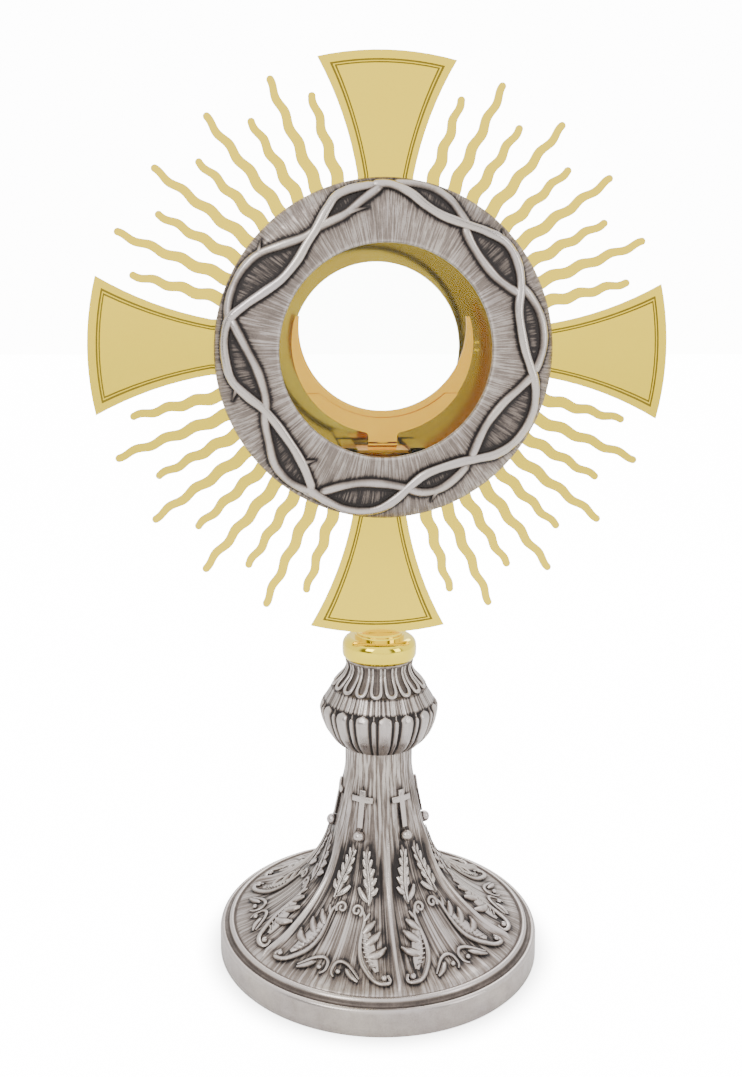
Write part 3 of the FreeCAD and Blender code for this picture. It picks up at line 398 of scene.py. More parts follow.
class Faced:
    """The front of the crown ring: depth and normal at each distance from the drum's axis."""

    def __init__(self, outline):
        line = np.array(outline, float)
        run = np.gradient(line, axis=0)
        run /= np.linalg.norm(run, axis=1)[:, None]
        self.radius, self.depth = line.T
        self.out, self.front = run[:, 1], -run[:, 0]

    def frame(self, radius):
        return [np.interp(radius, self.radius, column) for column in (self.depth, self.out, self.front)]

    def point(self, turn, radius, lift=0.0):
        depth, out, front = self.frame(radius)
        r = radius + out * lift
        return np.column_stack([r * np.cos(turn), depth + front * lift, HEAD_Z + r * np.sin(turn)])

    def pressed(self, xyz, share):
        turn = np.arctan2(xyz[:, 2] - HEAD_Z, xyz[:, 0])
        radius = np.hypot(xyz[:, 0], xyz[:, 2] - HEAD_Z)
        depth, out, front = self.frame(radius)
        high = (xyz[:, 1] - depth) * front
        give = high * (share - 1.0)
        moved = np.column_stack([give * out * np.cos(turn), give * front, give * out * np.sin(turn)])
        return xyz + moved, high * share


def spun(outline, columns, axis="Z"):
    """A bmesh of an outline of (radius, level) points, closed and spun about an axis, with its row stored."""
    bm = bmesh.new()
    row = bm.verts.layers.float.new("row")
    ends = []
    for i, (radius, level) in enumerate(outline):
        made = bm.verts.new((0.0, -radius, level) if axis == "Z" else (radius, level, HEAD_Z))
        made[row] = i
        ends.append(made)
    edges = [bm.edges.new(pair) for pair in zip(ends, ends[1:] + ends[:1])]
    centre, about = ((0, 0, 0), (0, 0, 1)) if axis == "Z" else ((0, 0, HEAD_Z), (0, 1, 0))
    bmesh.ops.spin(bm, geom=ends + edges, cent=centre, axis=about, angle=2 * pi, steps=columns,
                   use_merge=True, use_duplicate=False)
    bmesh.ops.recalc_face_normals(bm, faces=bm.faces)
    return bm


def mesh_of(bm, name):
    mesh = bpy.data.meshes.new(name)
    bm.to_mesh(mesh)
    bm.free()
    return mesh


def read_points(mesh):
    xyz = np.empty(len(mesh.vertices) * 3)
    mesh.vertices.foreach_get("co", xyz)
    return xyz.reshape(-1, 3)


def write_points(mesh, xyz):
    mesh.vertices.foreach_set("co", np.ascontiguousarray(xyz, float).ravel())
    mesh.update()


def read_float(mesh, name):
    found = np.empty(len(mesh.vertices), np.float32)
    mesh.attributes[name].data.foreach_get("value", found)
    return found


def store(mesh, **columns):
    for name, values in columns.items():
        layer = mesh.attributes.get(name) or mesh.attributes.new(name, "FLOAT", "POINT")
        layer.data.foreach_set("value", np.broadcast_to(values, len(mesh.vertices)).astype(np.float32))


def piece(name, mesh, finish, body, slot, *nodes):
    """Links a mesh, made in millimetres, as a finished piece that rides on a body."""
    mesh.transform(Matrix.Scale(MM, 4))
    mesh.polygons.foreach_set("use_smooth", [True] * len(mesh.polygons))
    mesh.materials.append(finish)
    made = bpy.data.objects.new(name, mesh)
    bpy.context.scene.collection.objects.link(made)
    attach(made, body)
    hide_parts(*nodes)


def strokes_mesh(name, strokes, sides=1):
    """Round, tapered strokes as one mesh, in millimetres. Each stroke is its points and their radii."""
    curve = bpy.data.curves.new(name, "CURVE")
    curve.dimensions = "3D"
    curve.bevel_depth = 1.0
    curve.bevel_resolution = sides
    curve.use_fill_caps = True
    for xyz, radii in strokes:
        spline = curve.splines.new("POLY")
        spline.points.add(len(xyz) - 1)
        spline.points.foreach_set("co", np.column_stack([xyz, np.ones(len(xyz))]).ravel())
        spline.points.foreach_set("radius", np.asarray(radii, float))
    shape = bpy.data.objects.new(name, curve)
    bpy.context.scene.collection.objects.link(shape)
    graph = bpy.context.evaluated_depsgraph_get()
    mesh = bpy.data.meshes.new_from_object(shape.evaluated_get(graph))
    bpy.data.objects.remove(shape)
    bpy.data.curves.remove(curve)
    mesh.materials.clear()
    return mesh


def facing(mesh, surface):
    """How squarely each point of the relief looks away from the surface under it, from 0 to 1."""
    normals = np.empty(len(mesh.vertices) * 3)
    mesh.vertex_normals.foreach_get("vector", normals)
    turn, _, _, out, rise = surface.split(read_points(mesh))
    away = np.column_stack([out * np.sin(turn), -out * np.cos(turn), rise])
    return np.clip((normals.reshape(-1, 3) * away).sum(axis=1), 0.0, 1.0)


def nearest_edge(xyz, strokes):
    """Distance in millimetres from each point to the nearest stroke's edge."""
    centres = np.vstack([s[0] for s in strokes])
    radii = np.concatenate([s[1] for s in strokes])
    tree = kdtree.KDTree(len(centres))
    for i, centre in enumerate(centres):
        tree.insert(centre, i)
    tree.balance()
    return np.array([min(gap - radii[i] for _, i, gap in tree.find_n(point, 3)) for point in xyz])


# ---- foot ----
FOOT_TURN = radians(2.5)      # the front ridge stands this far off the centre line
RIDGES = 6
FOOT_WEB = 5.3                # thickness of the foot's closed top
CROSS_FOOT = 72.2             # level of the small crosses' lower ends
CROSS_BAR = 14.1              # height of their bars above that
CROSS_BALL = 68.2             # level of the balls under them
LEAF_PRESS = 0.62             # share of their height that the leaves keep
FLARE = [(75.6, 15.5), (70.1, 18.3), (60.2, 22.2), (50.2, 28.4), (41.6, 35.5), (34.6, 43.5), (29.9, 52.0),
         (26.8, 60.3), (24.3, 69.1), (21.9, 78.2), (19.8, 87.6), (18.1, 96.0), (17.7, 100.0), (17.7, 105.0),
         (17.7, FOOT_TOP)]
RIM = [(78.0, 0.0), (83.4, 0.0), (83.95, 0.6), (83.95, 4.0), (83.95, 8.0), (83.95, 11.5), (83.6, 12.6),
       (83.1, 13.2), (82.2, 13.4), (81.4, 13.1), (80.6, 12.7), (79.9, 12.8), (79.5, 13.4), (79.3, 14.3),
       (78.9, 15.3), (78.2, 15.9), (77.4, 16.0), (76.7, 15.6), (76.2, 14.9), (75.9, 14.8)]

# Relief on half a panel: degrees from the ridge, height, radius of the stroke there. Broad low bodies lie
# under the lobes and stems, and fine ribs lie on top of both.
BODIES = [
    [(20.2, 64.2, .6), (21.6, 60.8, 1.4), (20.0, 56.0, 2.3), (17.4, 50.5, 2.9), (15.6, 45.5, 2.9),
     (15.4, 41.5, 1.8), (15.5, 39.2, .8)],
    [(16.8, 33.0, 1.3), (15.2, 29.8, 3.1), (13.4, 26.6, 4.0), (11.8, 24.0, 4.0), (10.2, 21.9, 2.9),
     (8.8, 20.4, 1.4)],
]
LOBES = [
    [(14.6, 43.3, 1.3), (11.8, 44.2, 1.7), (9.2, 46.0, 1.0)],
    [(16.0, 46.8, 1.3), (13.0, 48.0, 1.65), (10.4, 50.1, .9)],
    [(17.4, 50.4, 1.2), (14.8, 51.8, 1.5), (12.6, 54.1, .85)],
    [(18.8, 54.4, 1.1), (16.8, 56.0, 1.3), (15.2, 58.3, .75)],
    [(20.2, 58.2, .9), (18.8, 60.0, 1.05), (17.8, 62.0, .55)],
    [(17.0, 46.0, 1.2), (19.4, 47.2, 1.45), (21.4, 49.3, .85)],
    [(18.6, 50.0, 1.2), (21.0, 51.4, 1.4), (23.2, 53.5, .85)],
    [(20.0, 54.2, 1.1), (22.6, 55.8, 1.3), (24.6, 57.9, .75)],
    [(21.2, 58.0, .9), (23.4, 59.6, 1.1), (25.2, 61.6, .55)],
    [(16.4, 40.7, 1.0), (19.6, 42.0, 1.6), (22.8, 43.7, 1.6), (25.6, 45.7, 1.0)],
    [(17.2, 30.2, 1.5), (14.8, 31.7, 2.1), (12.6, 33.0, 1.8), (10.6, 34.2, .9)],
    [(15.0, 26.8, 1.7), (12.2, 28.0, 2.3), (9.6, 29.4, 2.1), (7.2, 30.8, 1.0)],
    [(13.6, 23.7, 1.7), (10.4, 24.0, 2.3), (7.2, 24.9, 2.2), (4.3, 26.4, 1.0)],
    [(17.8, 33.8, .9), (16.0, 35.2, 1.2), (14.4, 36.8, .6)],
    [(19.4, 37.2, .8), (17.8, 35.4, 1.0), (17.8, 32.6, 1.1), (18.2, 29.6, 1.25), (18.2, 26.8, 1.4),
     (17.4, 24.2, 1.5), (15.6, 22.0, 1.6), (13.0, 20.3, 1.6), (10.2, 18.9, 1.5), (7.4, 18.2, 1.45),
     (4.9, 18.2, 1.3), (3.5, 18.9, 1.1), (4.3, 19.9, .9)],
    [(16.2, 19.0, .6), (18.6, 20.2, .9), (21.8, 21.5, 1.1), (25.6, 22.1, 1.1), (28.2, 21.4, 1.0),
     (28.5, 19.8, .8), (26.8, 18.9, .6)],
    [(16.6, 18.5, .7), (19.4, 19.3, 1.6), (21.6, 20.2, 1.5), (22.8, 20.8, .6)],
]
RIBS = [
    [(15.5, 39.6, .5), (15.5, 42.0, .6), (15.8, 45.5, .7), (17.5, 50.5, .7), (20.0, 56.0, .6),
     (21.5, 60.8, .45)],
    [(15.6, 30.8, .35), (13.4, 32.4, .5), (11.4, 33.7, .3)],
    [(13.4, 27.6, .35), (10.8, 28.8, .5), (8.4, 30.1, .3)],
    [(12.0, 23.9, .35), (9.0, 24.4, .5), (6.0, 25.5, .3)],
    *[[(a, z, .38), (a - 1.6, z - 0.1, .42), (a - 3.2, z - 0.3, .3)]
      for a, z in ((17.0, 28.6), (16.8, 27.3), (16.4, 26.0), (15.9, 24.8), (15.0, 23.6), (13.8, 22.5),
                   (12.4, 21.5))],
]
# Small balls: degrees from the ridge, height, radius.
BALLS = [(6.0, 19.2, 1.5), (25.6, 19.9, 1.3)]
VOLUTE = (24.0, 37.3, 3.1, 1.1)     # degrees from the ridge, height, radius, stroke


def ridge_angle(turn):
    """Angle in radians from the nearest ridge."""
    step = 2 * pi / RIDGES
    return np.abs((turn - FOOT_TURN + step / 2) % step - step / 2)


def cross_turn(ridge):
    """Turn of the small cross in the panel after a ridge."""
    return (ridge + 0.5) * 2 * pi / RIDGES


def foot_surface():
    sizes = bpy.context.scene.monstrance_foot
    line = smooth_line(FLARE, 10)

    def relief(turn, level):
        off = ridge_angle(turn)
        radius = np.interp(level, line[:, 1], line[:, 0])
        arc = radius * off
        start = ease(level, 15.8, 18.5)
        crest = sizes.ridge_rise / MM * start * (1.0 - ease(level, 56.0, 72.0))
        width = 1.15 + 0.03 * (level - 18.0)
        band = 0.45 * ease(level, 52.0, 66.0) * (1.0 - ease(level, 86.0, 97.0)) * (1.0 - ease(arc, 3.2, 4.6))
        hollow = sizes.hollow / MM * np.sin(off * RIDGES / 2) ** 2 * start * (1.0 - ease(level, 74.0, 96.0))
        dip = 0.8 * bell(arc, 4.2, 1.8) * start * (1.0 - ease(level, 50.0, 64.0))
        return crest * bell(arc, 0.0, width) + band - hollow - dip

    return line, Turned(line, relief)


def on_foot(surface, marks, ridge, side, lift, rise):
    """One stroke of a half-panel, as millimetre points and radii. It is lifted by a share of its radius."""
    line = smooth_line(marks, 4)
    turn = FOOT_TURN + ridge * 2 * pi / RIDGES + side * np.radians(line[:, 0])
    radii = np.maximum(line[:, 2], 0.12)
    return surface.point(turn, line[:, 1], lift * radii + rise), radii


def foot_strokes(surface):
    """All the leaves, scrolls and volutes of the foot."""
    turn_c, level_c, volute_r, thick = VOLUTE
    radius, out, _ = surface.frame(level_c)
    spiral = []
    for i in range(19):
        angle = -0.9 + i * 0.44
        reach = volute_r * (1.0 - 0.75 * i / 18)
        spiral.append((turn_c - np.degrees(reach * cos(angle) / radius), level_c + reach * sin(angle) * out,
                       thick * (1.0 - 0.25 * i / 18)))
    strokes = []
    for ridge in range(RIDGES):
        for side in (-1, 1):
            for group, lift, rise in ((BODIES, -0.40, 0.0), (LOBES + [spiral], 0.35, 0.0), (RIBS, 0.0, 1.9)):
                for marks in group:
                    strokes.append(on_foot(surface, marks, ridge, side, lift, rise))
    return strokes


def foot_balls(surface):
    """Small balls in the scrolls, and one under each cross, as (centre, radius)."""
    sizes = bpy.context.scene.monstrance_foot
    for ridge in range(RIDGES):
        for side in (-1, 1):
            for off, level, radius in BALLS:
                turn = FOOT_TURN + ridge * 2 * pi / RIDGES + side * radians(off)
                yield surface.point(np.array([turn]), np.array([level]), 0.35 * radius)[0], radius
        radius = sizes.ball / MM
        yield surface.point(np.array([cross_turn(ridge)]), np.array([CROSS_BALL]), 0.4 * radius)[0], radius


def small_crosses(bm, surface, turns):
    """Raised Latin crosses that lean against the flare, from grids with their corners left out."""
    apart = 100.0
    wide = {0: -5.6, 1: -1.55, 2: 1.55, 3: 5.6}
    tall = {0: 0.0, 1: 13.0, 2: 16.0, 3: 19.3}
    for i in range(len(turns)):
        verts = bmesh.ops.create_grid(bm, x_segments=3, y_segments=3, size=1.5)["verts"]
        for v in verts:
            v.co = Vector((wide[round(v.co.x + 1.5)] + i * apart, tall[round(v.co.y + 1.5)], 0.0))
    spare = []
    for face in bm.faces:
        middle = face.calc_center_median()
        off = (middle.x + apart / 2) % apart - apart / 2
        if abs(off) > 1.6 and not 13.1 < middle.y < 15.9:
            spare.append(face)
    bmesh.ops.delete(bm, geom=spare, context="FACES")
    lifted = bmesh.ops.extrude_face_region(bm, geom=bm.faces[:])["geom"]
    tops = [g for g in lifted if isinstance(g, bmesh.types.BMVert)]
    bmesh.ops.translate(bm, verts=tops, vec=(0.0, 0.0, 1.9))
    rim = [e for e in bm.edges if all(v.co.z > 1.0 for v in e.verts)
           and any(abs(face.normal.z) < 0.5 for face in e.link_faces)]
    bmesh.ops.bevel(bm, geom=rim, offset=0.4, segments=2, affect="EDGES", profile=0.5, material=-1)
    for v in bm.verts:
        i = round(v.co.x / apart)
        level = CROSS_FOOT + v.co.y * 0.97
        turn = turns[i] + (v.co.x - i * apart) / surface.frame(level)[0]
        v.co = Vector(surface.point(np.array([turn]), np.array([level]), v.co.z - 0.6)[0])


def cross_marks(surface, turn):
    """The two bars of one small cross, as points and radii."""
    upright = np.linspace(CROSS_FOOT, CROSS_FOOT + 18.6, 12)
    yield surface.point(np.full(12, turn), upright, 0.5), np.full(12, 1.2)
    across = np.linspace(-5.2, 5.2, 9) / surface.frame(CROSS_FOOT + CROSS_BAR)[0]
    yield surface.point(turn + across, np.full(9, CROSS_FOOT + CROSS_BAR), 0.5), np.full(9, 1.2)


class MakeFoot(Operator):
    """Builds the foot casting: rim, bead, ridged flare, and its leaves, scrolls, crosses and balls"""
    bl_idname = "monstrance.make_foot"
    bl_label = "Foot casting"

    def execute(self, context):
        sizes = context.scene.monstrance_foot
        line, surface = foot_surface()
        wall = sizes.wall / MM
        inside = [(r - wall * o, z - wall * u) for r, z, o, u in
                  zip(surface.radius, surface.level, surface.out, surface.rise)][::-8]
        inside = [p for p in inside if p[1] < FOOT_TOP - 10.0]
        web = FOOT_TOP - FOOT_WEB
        closed_top = [(ROD_HOLE_R, FOOT_TOP), (ROD_HOLE_R, web), (15.1, web)]
        outline = RIM + [tuple(p) for p in line] + closed_top + inside + [(78.0, 12.0)]
        mesh = mesh_of(spun(outline, sizes.columns), "foot_casting")
        xyz = read_points(mesh)
        row = np.rint(read_float(mesh, "row")).astype(int)
        turn = np.arctan2(xyz[:, 0], -xyz[:, 1])
        crowded = turn - 0.6 * np.sin(RIDGES * (turn - FOOT_TURN)) / RIDGES
        radius = np.hypot(xyz[:, 0], xyz[:, 1])
        xyz[:, 0], xyz[:, 1] = radius * np.sin(crowded), -radius * np.cos(crowded)
        first, last = len(RIM), len(RIM) + len(line)
        flare = (row >= first) & (row < last)
        xyz[flare] = surface.point(crowded[flare], line[row[flare] - first][:, 1])
        write_points(mesh, xyz)

        strokes = foot_strokes(surface)
        balls = list(foot_balls(surface))
        marks = strokes + [(np.array([centre]), np.array([r])) for centre, r in balls]
        turns = [cross_turn(ridge) for ridge in range(RIDGES)]
        marks += [mark for cross in turns for mark in cross_marks(surface, cross)]
        level = xyz[:, 2]
        off = ridge_angle(crowded)
        arc = radius * off
        # Stored patina on the foot casting: oxide and painted shade darken the rim's cove and the groove at
        # the foot of the flare; the rounded tops of the rim and the bead are painted brighter, as wear and
        # painted highlight.
        patina = np.full(len(xyz), 0.24)
        grain = np.zeros(len(xyz))
        cove = (row >= 9) & (row <= 13)
        patina[cove] = 0.72
        patina[(row >= 17) & (row < first)] = 0.70
        patina[(row >= 14) & (row < 17)] = 0.06
        patina[(row >= 6) & (row <= 8)] = 0.10
        # Darker next to every stroke, ball and cross: oxide in the joints, and a wider ring of painted shade
        # round the relief.
        gap = np.maximum(nearest_edge(xyz[flare], marks), 0.0)
        halo = 0.34 * bell(gap, 0.0, 1.1) + 0.16 * bell(gap, 0.0, 3.5)
        f_arc, f_level = arc[flare], level[flare]
        low = 1.0 - ease(f_level, 52.0, 68.0)
        # Painted shade in the valleys either side of each ridge's crest, below the leaves, and a painted
        # highlight along the crest, which also carries fewer tool marks; leafy darkens the ground between the
        # upper leaves.
        flank = 0.42 * bell(f_arc, 3.6, 1.6) * low * ease(f_level, 18.0, 24.0)
        crest = 0.34 * bell(f_arc, 0.0, 1.1) * low * ease(f_level, 17.0, 20.0)
        leafy = 0.22 * ease(f_level, 36.0, 44.0) * (1.0 - ease(f_level, 60.0, 72.0)) * ease(f_arc, 2.0, 5.0)
        patina[flare] = 0.32 + halo + flank + leafy - crest
        grain[flare] = (0.55 + 0.45 * ease(f_level, 15.0, 22.0)) * (1.0 - 0.8 * crest / 0.34)
        store(mesh, patina=patina, grain=grain, near_axis=1.0 - ease(radius, 22.0, 44.0))
        silver = oxidised_silver("foot_silver", STEM, ROUND_STEM, 44.0, 17.0)
        piece("foot_casting", mesh, silver, "stand", "antique_silver", "base_foot")

        relief = strokes_mesh("foot_relief", strokes)
        square = facing(relief, surface)
        points, high = surface.pressed(read_points(relief), LEAF_PRESS)
        write_points(relief, points)
        # Painted light on the leaves and scrolls: their sides, turned away from the flare, and their low
        # parts are painted dark as shade, with oxide where they meet the flare; their tops are painted bright
        # as wear and highlight.
        sides = 0.80 - 0.80 * ease(square, 0.25, 0.85)
        tops = 0.72 - 0.70 * ease(high, 0.05, 0.6)
        store(relief, patina=np.maximum(tops, sides), grain=0.22, near_axis=0.0)
        piece("foot_relief", relief, silver, "stand", "antique_silver", "base_foot")

        bm = bmesh.new()
        small_crosses(bm, surface, turns)
        for centre, r in balls:
            bmesh.ops.create_icosphere(bm, subdivisions=3, radius=r, matrix=Matrix.Translation(centre))
        bmesh.ops.recalc_face_normals(bm, faces=bm.faces)
        crosses = mesh_of(bm, "foot_crosses")
        # Crosses and balls are painted dark near the flare, as oxide and painted shade, and bright on their
        # raised faces, as wear and painted highlight.
        _, _, high, _, _ = surface.split(read_points(crosses))
        store(crosses, patina=0.85 - 0.80 * ease(high, 0.2, 1.1), grain=0.15, near_axis=0.0)
        piece("foot_crosses", crosses, silver, "stand", "antique_silver", "base_foot")
        return {"FINISHED"}


# ---- knop ----
KNOP_LINE = [(17.9, FOOT_TOP), (19.4, FOOT_TOP + 0.1), (21.7, 112.0), (23.3, 113.5), (24.7, 115.0),
             (26.2, 117.0), (27.5, 119.0), (28.8, 122.0), (29.9, 125.0), (30.6, 128.0), (30.9, 130.2),
             (30.5, 131.8), (29.5, 133.4), (28.4, 135.4), (27.3, 137.2), (26.1, 139.2), (25.2, 141.0),
             (24.3, 142.8), (23.0, 145.0), (21.2, 147.0), (19.2, 149.4), (18.0, 152.3), (17.4, 155.0),
             (17.2, KNOP_TOP)]
KNOP_WEB = 3.0                # thickness of the knop's closed ends
BAND_LOW = 134.2              # levels of the tooled band between the gadroons and the tongues
BAND_HIGH = 141.5
TONGUE_PRESS = 0.85           # share of their height that the tongues keep


def knop_surface():
    sizes = bpy.context.scene.monstrance_knop
    line = smooth_line(KNOP_LINE, 5)
    line = line[np.argsort(line[:, 1], kind="stable")]
    swell = sizes.swell / MM

    def lobes(turn, level):
        """Share of the way up each gadroon's rounded back, and 0 in the grooves."""
        step = 2 * pi / sizes.gadroons
        off = np.degrees(np.abs((turn + step / 2) % step - step / 2))
        side = 180.0 / sizes.gadroons - off
        wide_half = 7.2 * (1.0 - np.clip((level - 131.4) / 2.6, 0.0, 1.0) ** 5)
        slim_half = 2.4 * (1.0 - np.clip((level - 130.4) / 2.2, 0.0, 1.0) ** 4)
        wide = (1.0 - np.clip(off / np.maximum(wide_half, 0.05), 0.0, 1.0) ** 3.2) ** 0.6
        slim = (1.0 - np.clip(side / np.maximum(slim_half, 0.05), 0.0, 1.0) ** 2.4) ** 0.6
        return wide, slim

    def relief(turn, level):
        wide, slim = lobes(turn, level)
        lower = ease(level, FOOT_TOP, FOOT_TOP + 1.2) * (1.0 - ease(level, 133.6, 134.4))
        groove = -0.95 * lower
        shoulder = -1.2 * ease(level, 141.6, 142.8) * (1.0 - ease(level, 153.0, 155.5))
        return groove + np.maximum(wide * swell, slim * 0.80 * swell) * lower + shoulder

    return line, Turned(line, relief), lobes


class MakeKnop(Operator):
    """Builds the knop: gadroons below, a tooled band, and hanging tongues on its shoulder"""
    bl_idname = "monstrance.make_knop"
    bl_label = "Knop casting"

    def execute(self, context):
        sizes = context.scene.monstrance_knop
        line, surface, lobes = knop_surface()
        ceiling, floor = KNOP_TOP - KNOP_WEB, FOOT_TOP + KNOP_WEB
        inside = [(ROD_HOLE_R, KNOP_TOP), (ROD_HOLE_R, ceiling), (15.2, ceiling), (23.0, 140.0),
                  (28.2, 129.0), (26.0, 121.0), (18.5, floor), (ROD_HOLE_R, floor), (ROD_HOLE_R, FOOT_TOP)]
        outline = [tuple(p) for p in line] + inside
        mesh = mesh_of(spun(outline, 24 * sizes.gadroons), "knop_casting")
        xyz = read_points(mesh)
        row = np.rint(read_float(mesh, "row")).astype(int)
        turn = np.arctan2(xyz[:, 0], -xyz[:, 1])
        outer = row < len(line)
        level = line[np.minimum(row, len(line) - 1)][:, 1]
        xyz[outer] = surface.point(turn[outer], level[outer])
        write_points(mesh, xyz)

        strokes = []
        for i in range(sizes.tongues):
            middle = (i + 0.5) * 2 * pi / sizes.tongues
            loop = [(-6.6, 155.6, .6), (-6.6, 151.5, .75), (-6.6, 147.5, .9), (-6.2, 144.9, 1.05),
                    (-4.2, 143.2, 1.2), (0.0, 142.6, 1.25), (4.2, 143.2, 1.2), (6.2, 144.9, 1.05),
                    (6.6, 147.5, .9), (6.6, 151.5, .75), (6.6, 155.6, .6)]
            spike = [(10.0, 155.6, .35), (10.0, 150.5, .4), (10.0, 146.4, .2)]
            for marks in (loop, spike):
                fine = smooth_line(marks, 3)
                strokes.append((surface.point(middle + np.radians(fine[:, 0]), fine[:, 1], 0.35 * fine[:, 2]),
                                fine[:, 2]))
        # Painted light on the knop: the grooves between gadroons and the band's edges are dark with oxide and
        # painted shade, and the gadroons' backs are painted bright as wear and highlight; the casting grows
        # darker towards the bottom, and the sunk shoulder behind the tongues is dark with oxide and painted
        # shade.
        wide, slim = lobes(turn, level)
        back = np.maximum(wide, slim)
        lobed = 1.0 - 0.90 * ease(back, 0.30, 0.86) + 0.30 * (1.0 - ease(level, FOOT_TOP, FOOT_TOP + 8.0))
        patina = np.where(level < BAND_LOW, lobed, 0.36)
        ledge = bell(level, 134.6, 0.7) + bell(level, 141.3, 0.6)
        patina = np.where(level >= BAND_LOW, np.maximum(patina, 0.80 * ledge), patina)
        patina = np.where((level > 141.6) & (level < 155.5), 0.74, patina)
        patina[~outer] = 0.5
        grain = np.where((level > BAND_LOW) & (level < BAND_HIGH), 1.25, 0.22)
        store(mesh, patina=patina, grain=grain, near_axis=1.0)
        silver = oxidised_silver("knop_silver", STEM, ROUND_STEM, 30.0, 22.0)
        piece("knop_casting", mesh, silver, "stand", "antique_silver", "knop")
        tongues = strokes_mesh("knop_tongues", strokes)
        square = facing(tongues, surface)
        points, high = surface.pressed(read_points(tongues), TONGUE_PRESS)
        write_points(tongues, points)
        # Painted light on the tongues: their sides, turned away from the knop, and their low parts are
        # painted dark as shade, with oxide at their feet; their tops are painted bright as wear and
        # highlight.
        sides = 0.80 - 0.82 * ease(square, 0.25, 0.8)
        tops = 0.75 - 0.78 * ease(high, 0.1, 0.8)
        store(tongues, patina=np.maximum(tops, sides), grain=0.10, near_axis=1.0)
        piece("knop_tongues", tongues, silver, "stand", "antique_silver", "knop")
        return {"FINISHED"}


# ---- crown ring ----
WINDOW_R = 52.5               # the ring's opening
REBATE_R = 55.8               # the seat for the glass behind it
REBATE_FRONT = -23.2          # depth of that seat's front face
VINE_PRESS = 0.86             # share of their height that the vines keep
RING_FACE = [(WINDOW_R, -25.0), (52.7, -25.6), (53.3, -26.0), (54.5, -26.1), (60.0, -25.9), (66.0, -25.5),
             (71.0, -24.8), (75.0, -23.9), (78.5, -22.7), (81.2, -21.1), (83.0, -19.5), (84.0, -18.2),
             (84.35, -17.0)]
# Vines: degrees from +X, seen from the front, and distance from the drum's axis. The last number says how
# high the vine lies against the others.
VINES = [
    (0.35, [(94, 80.4), (107, 79), (113, 74.5), (120, 68.5), (128, 64.4), (136, 61.6), (146, 61.8),
            (155, 66.3), (163, 72.9), (169, 78), (176, 79.2), (184, 78.4), (191, 76.6), (198, 71.4),
            (205, 66.6), (214, 64.6), (223, 65.2), (230, 67.3), (236, 71), (242, 77)]),
    (-0.35, [(92, 79.5), (100, 73.4), (108, 68.8), (118, 68.2), (127, 68.1), (136, 72.6), (143, 77.6),
             (150, 80.2), (157, 80.8), (164, 80.2), (171, 78)]),
    (-0.30, [(168, 77.5), (176, 70.6), (185, 65.2), (193, 63.1), (202, 63.8), (210, 68.6), (218, 73),
             (226, 78.4), (234, 80.2), (243, 78.6)]),
    (0.40, [(240, 78), (249, 79.8), (256, 81), (262, 80.6), (268, 78.4), (274, 73.4), (280, 68),
            (287, 64.2), (295, 63.9), (304, 66.3), (311, 70.5), (317, 75.2), (324, 78.6), (332, 80),
            (340, 78.9), (348, 75.6), (354, 71.6), (361, 68.2), (370, 67), (378, 68.2), (385, 72.6),
            (391, 76), (397, 78.2), (403, 78.4), (410, 75.5), (418, 72.2), (427, 70.5), (435, 72.4),
            (442, 77), (449, 80.4), (455, 80.4)]),
    (-0.35, [(245, 77), (252, 70.2), (260, 66.2), (269, 65.8), (277, 68), (284, 72.4), (291, 73.8),
             (298, 72.3), (306, 69.5)]),
    (-0.30, [(308, 68), (318, 63), (327, 61.6), (337, 63.9), (346, 70), (351, 74.5)]),
    (-0.35, [(386, 73), (380, 76), (372, 78.6), (363, 78.6), (356, 76.4), (352, 74)]),
    (-0.30, [(418, 70.5), (412, 66.4), (404, 63.9), (395, 64), (388, 67), (383, 71)]),
    (-0.35, [(448, 81.2), (440, 82), (433, 81.6), (427, 79.2), (422, 75.6), (417, 72)]),
]
# Thorns: where each starts and where its tip is.
THORNS = [
    ((106, 69.2), (98, 69.6)), ((143, 77.6), (139, 81.0)), ((43, 78.4), (46, 81.8)),
    ((194, 75.0), (198, 79.0)), ((233, 68.6), (237, 63.8)), ((240, 80.0), (246, 82.0)),
    ((290, 73.8), (287, 78.2)), ((350, 73.0), (346, 70.4)), ((226, 78.6), (229, 82.0)),
]


def vine_strokes(face, radius):
    strokes = []
    for rank, marks in VINES:
        line = smooth_line(marks, 5)
        turn = np.radians(line[:, 0])
        thick = radius * (1.0 + 0.05 * np.sin(0.6 * np.arange(len(line))))
        thick[0] = thick[-1] = 0.7 * radius
        strokes.append((face.point(turn, line[:, 1], rank - 0.12 * radius), thick))
    for (a, b), (c, d) in THORNS:
        line = np.linspace((a, b), (c, d), 5)
        strokes.append((face.point(np.radians(line[:, 0]), line[:, 1], 0.4), np.linspace(1.5, 0.25, 5)))
    return strokes


def enclosed(turn, radius):
    """1 where a place on the ring's face lies between two vines, 0 outside them."""
    below = np.zeros(len(turn), bool)
    above = np.zeros(len(turn), bool)
    for _, marks in VINES:
        line = smooth_line(marks, 5)
        line = line[np.argsort(line[:, 0])]
        for wrap in (0.0, 360.0):
            angle = np.degrees(turn) % 360.0 + wrap
            inside = (angle >= line[0, 0]) & (angle <= line[-1, 0])
            middle = np.interp(angle, line[:, 0], line[:, 1])
            below |= inside & (middle < radius)
            above |= inside & (middle > radius)
    return (below & above).astype(float)


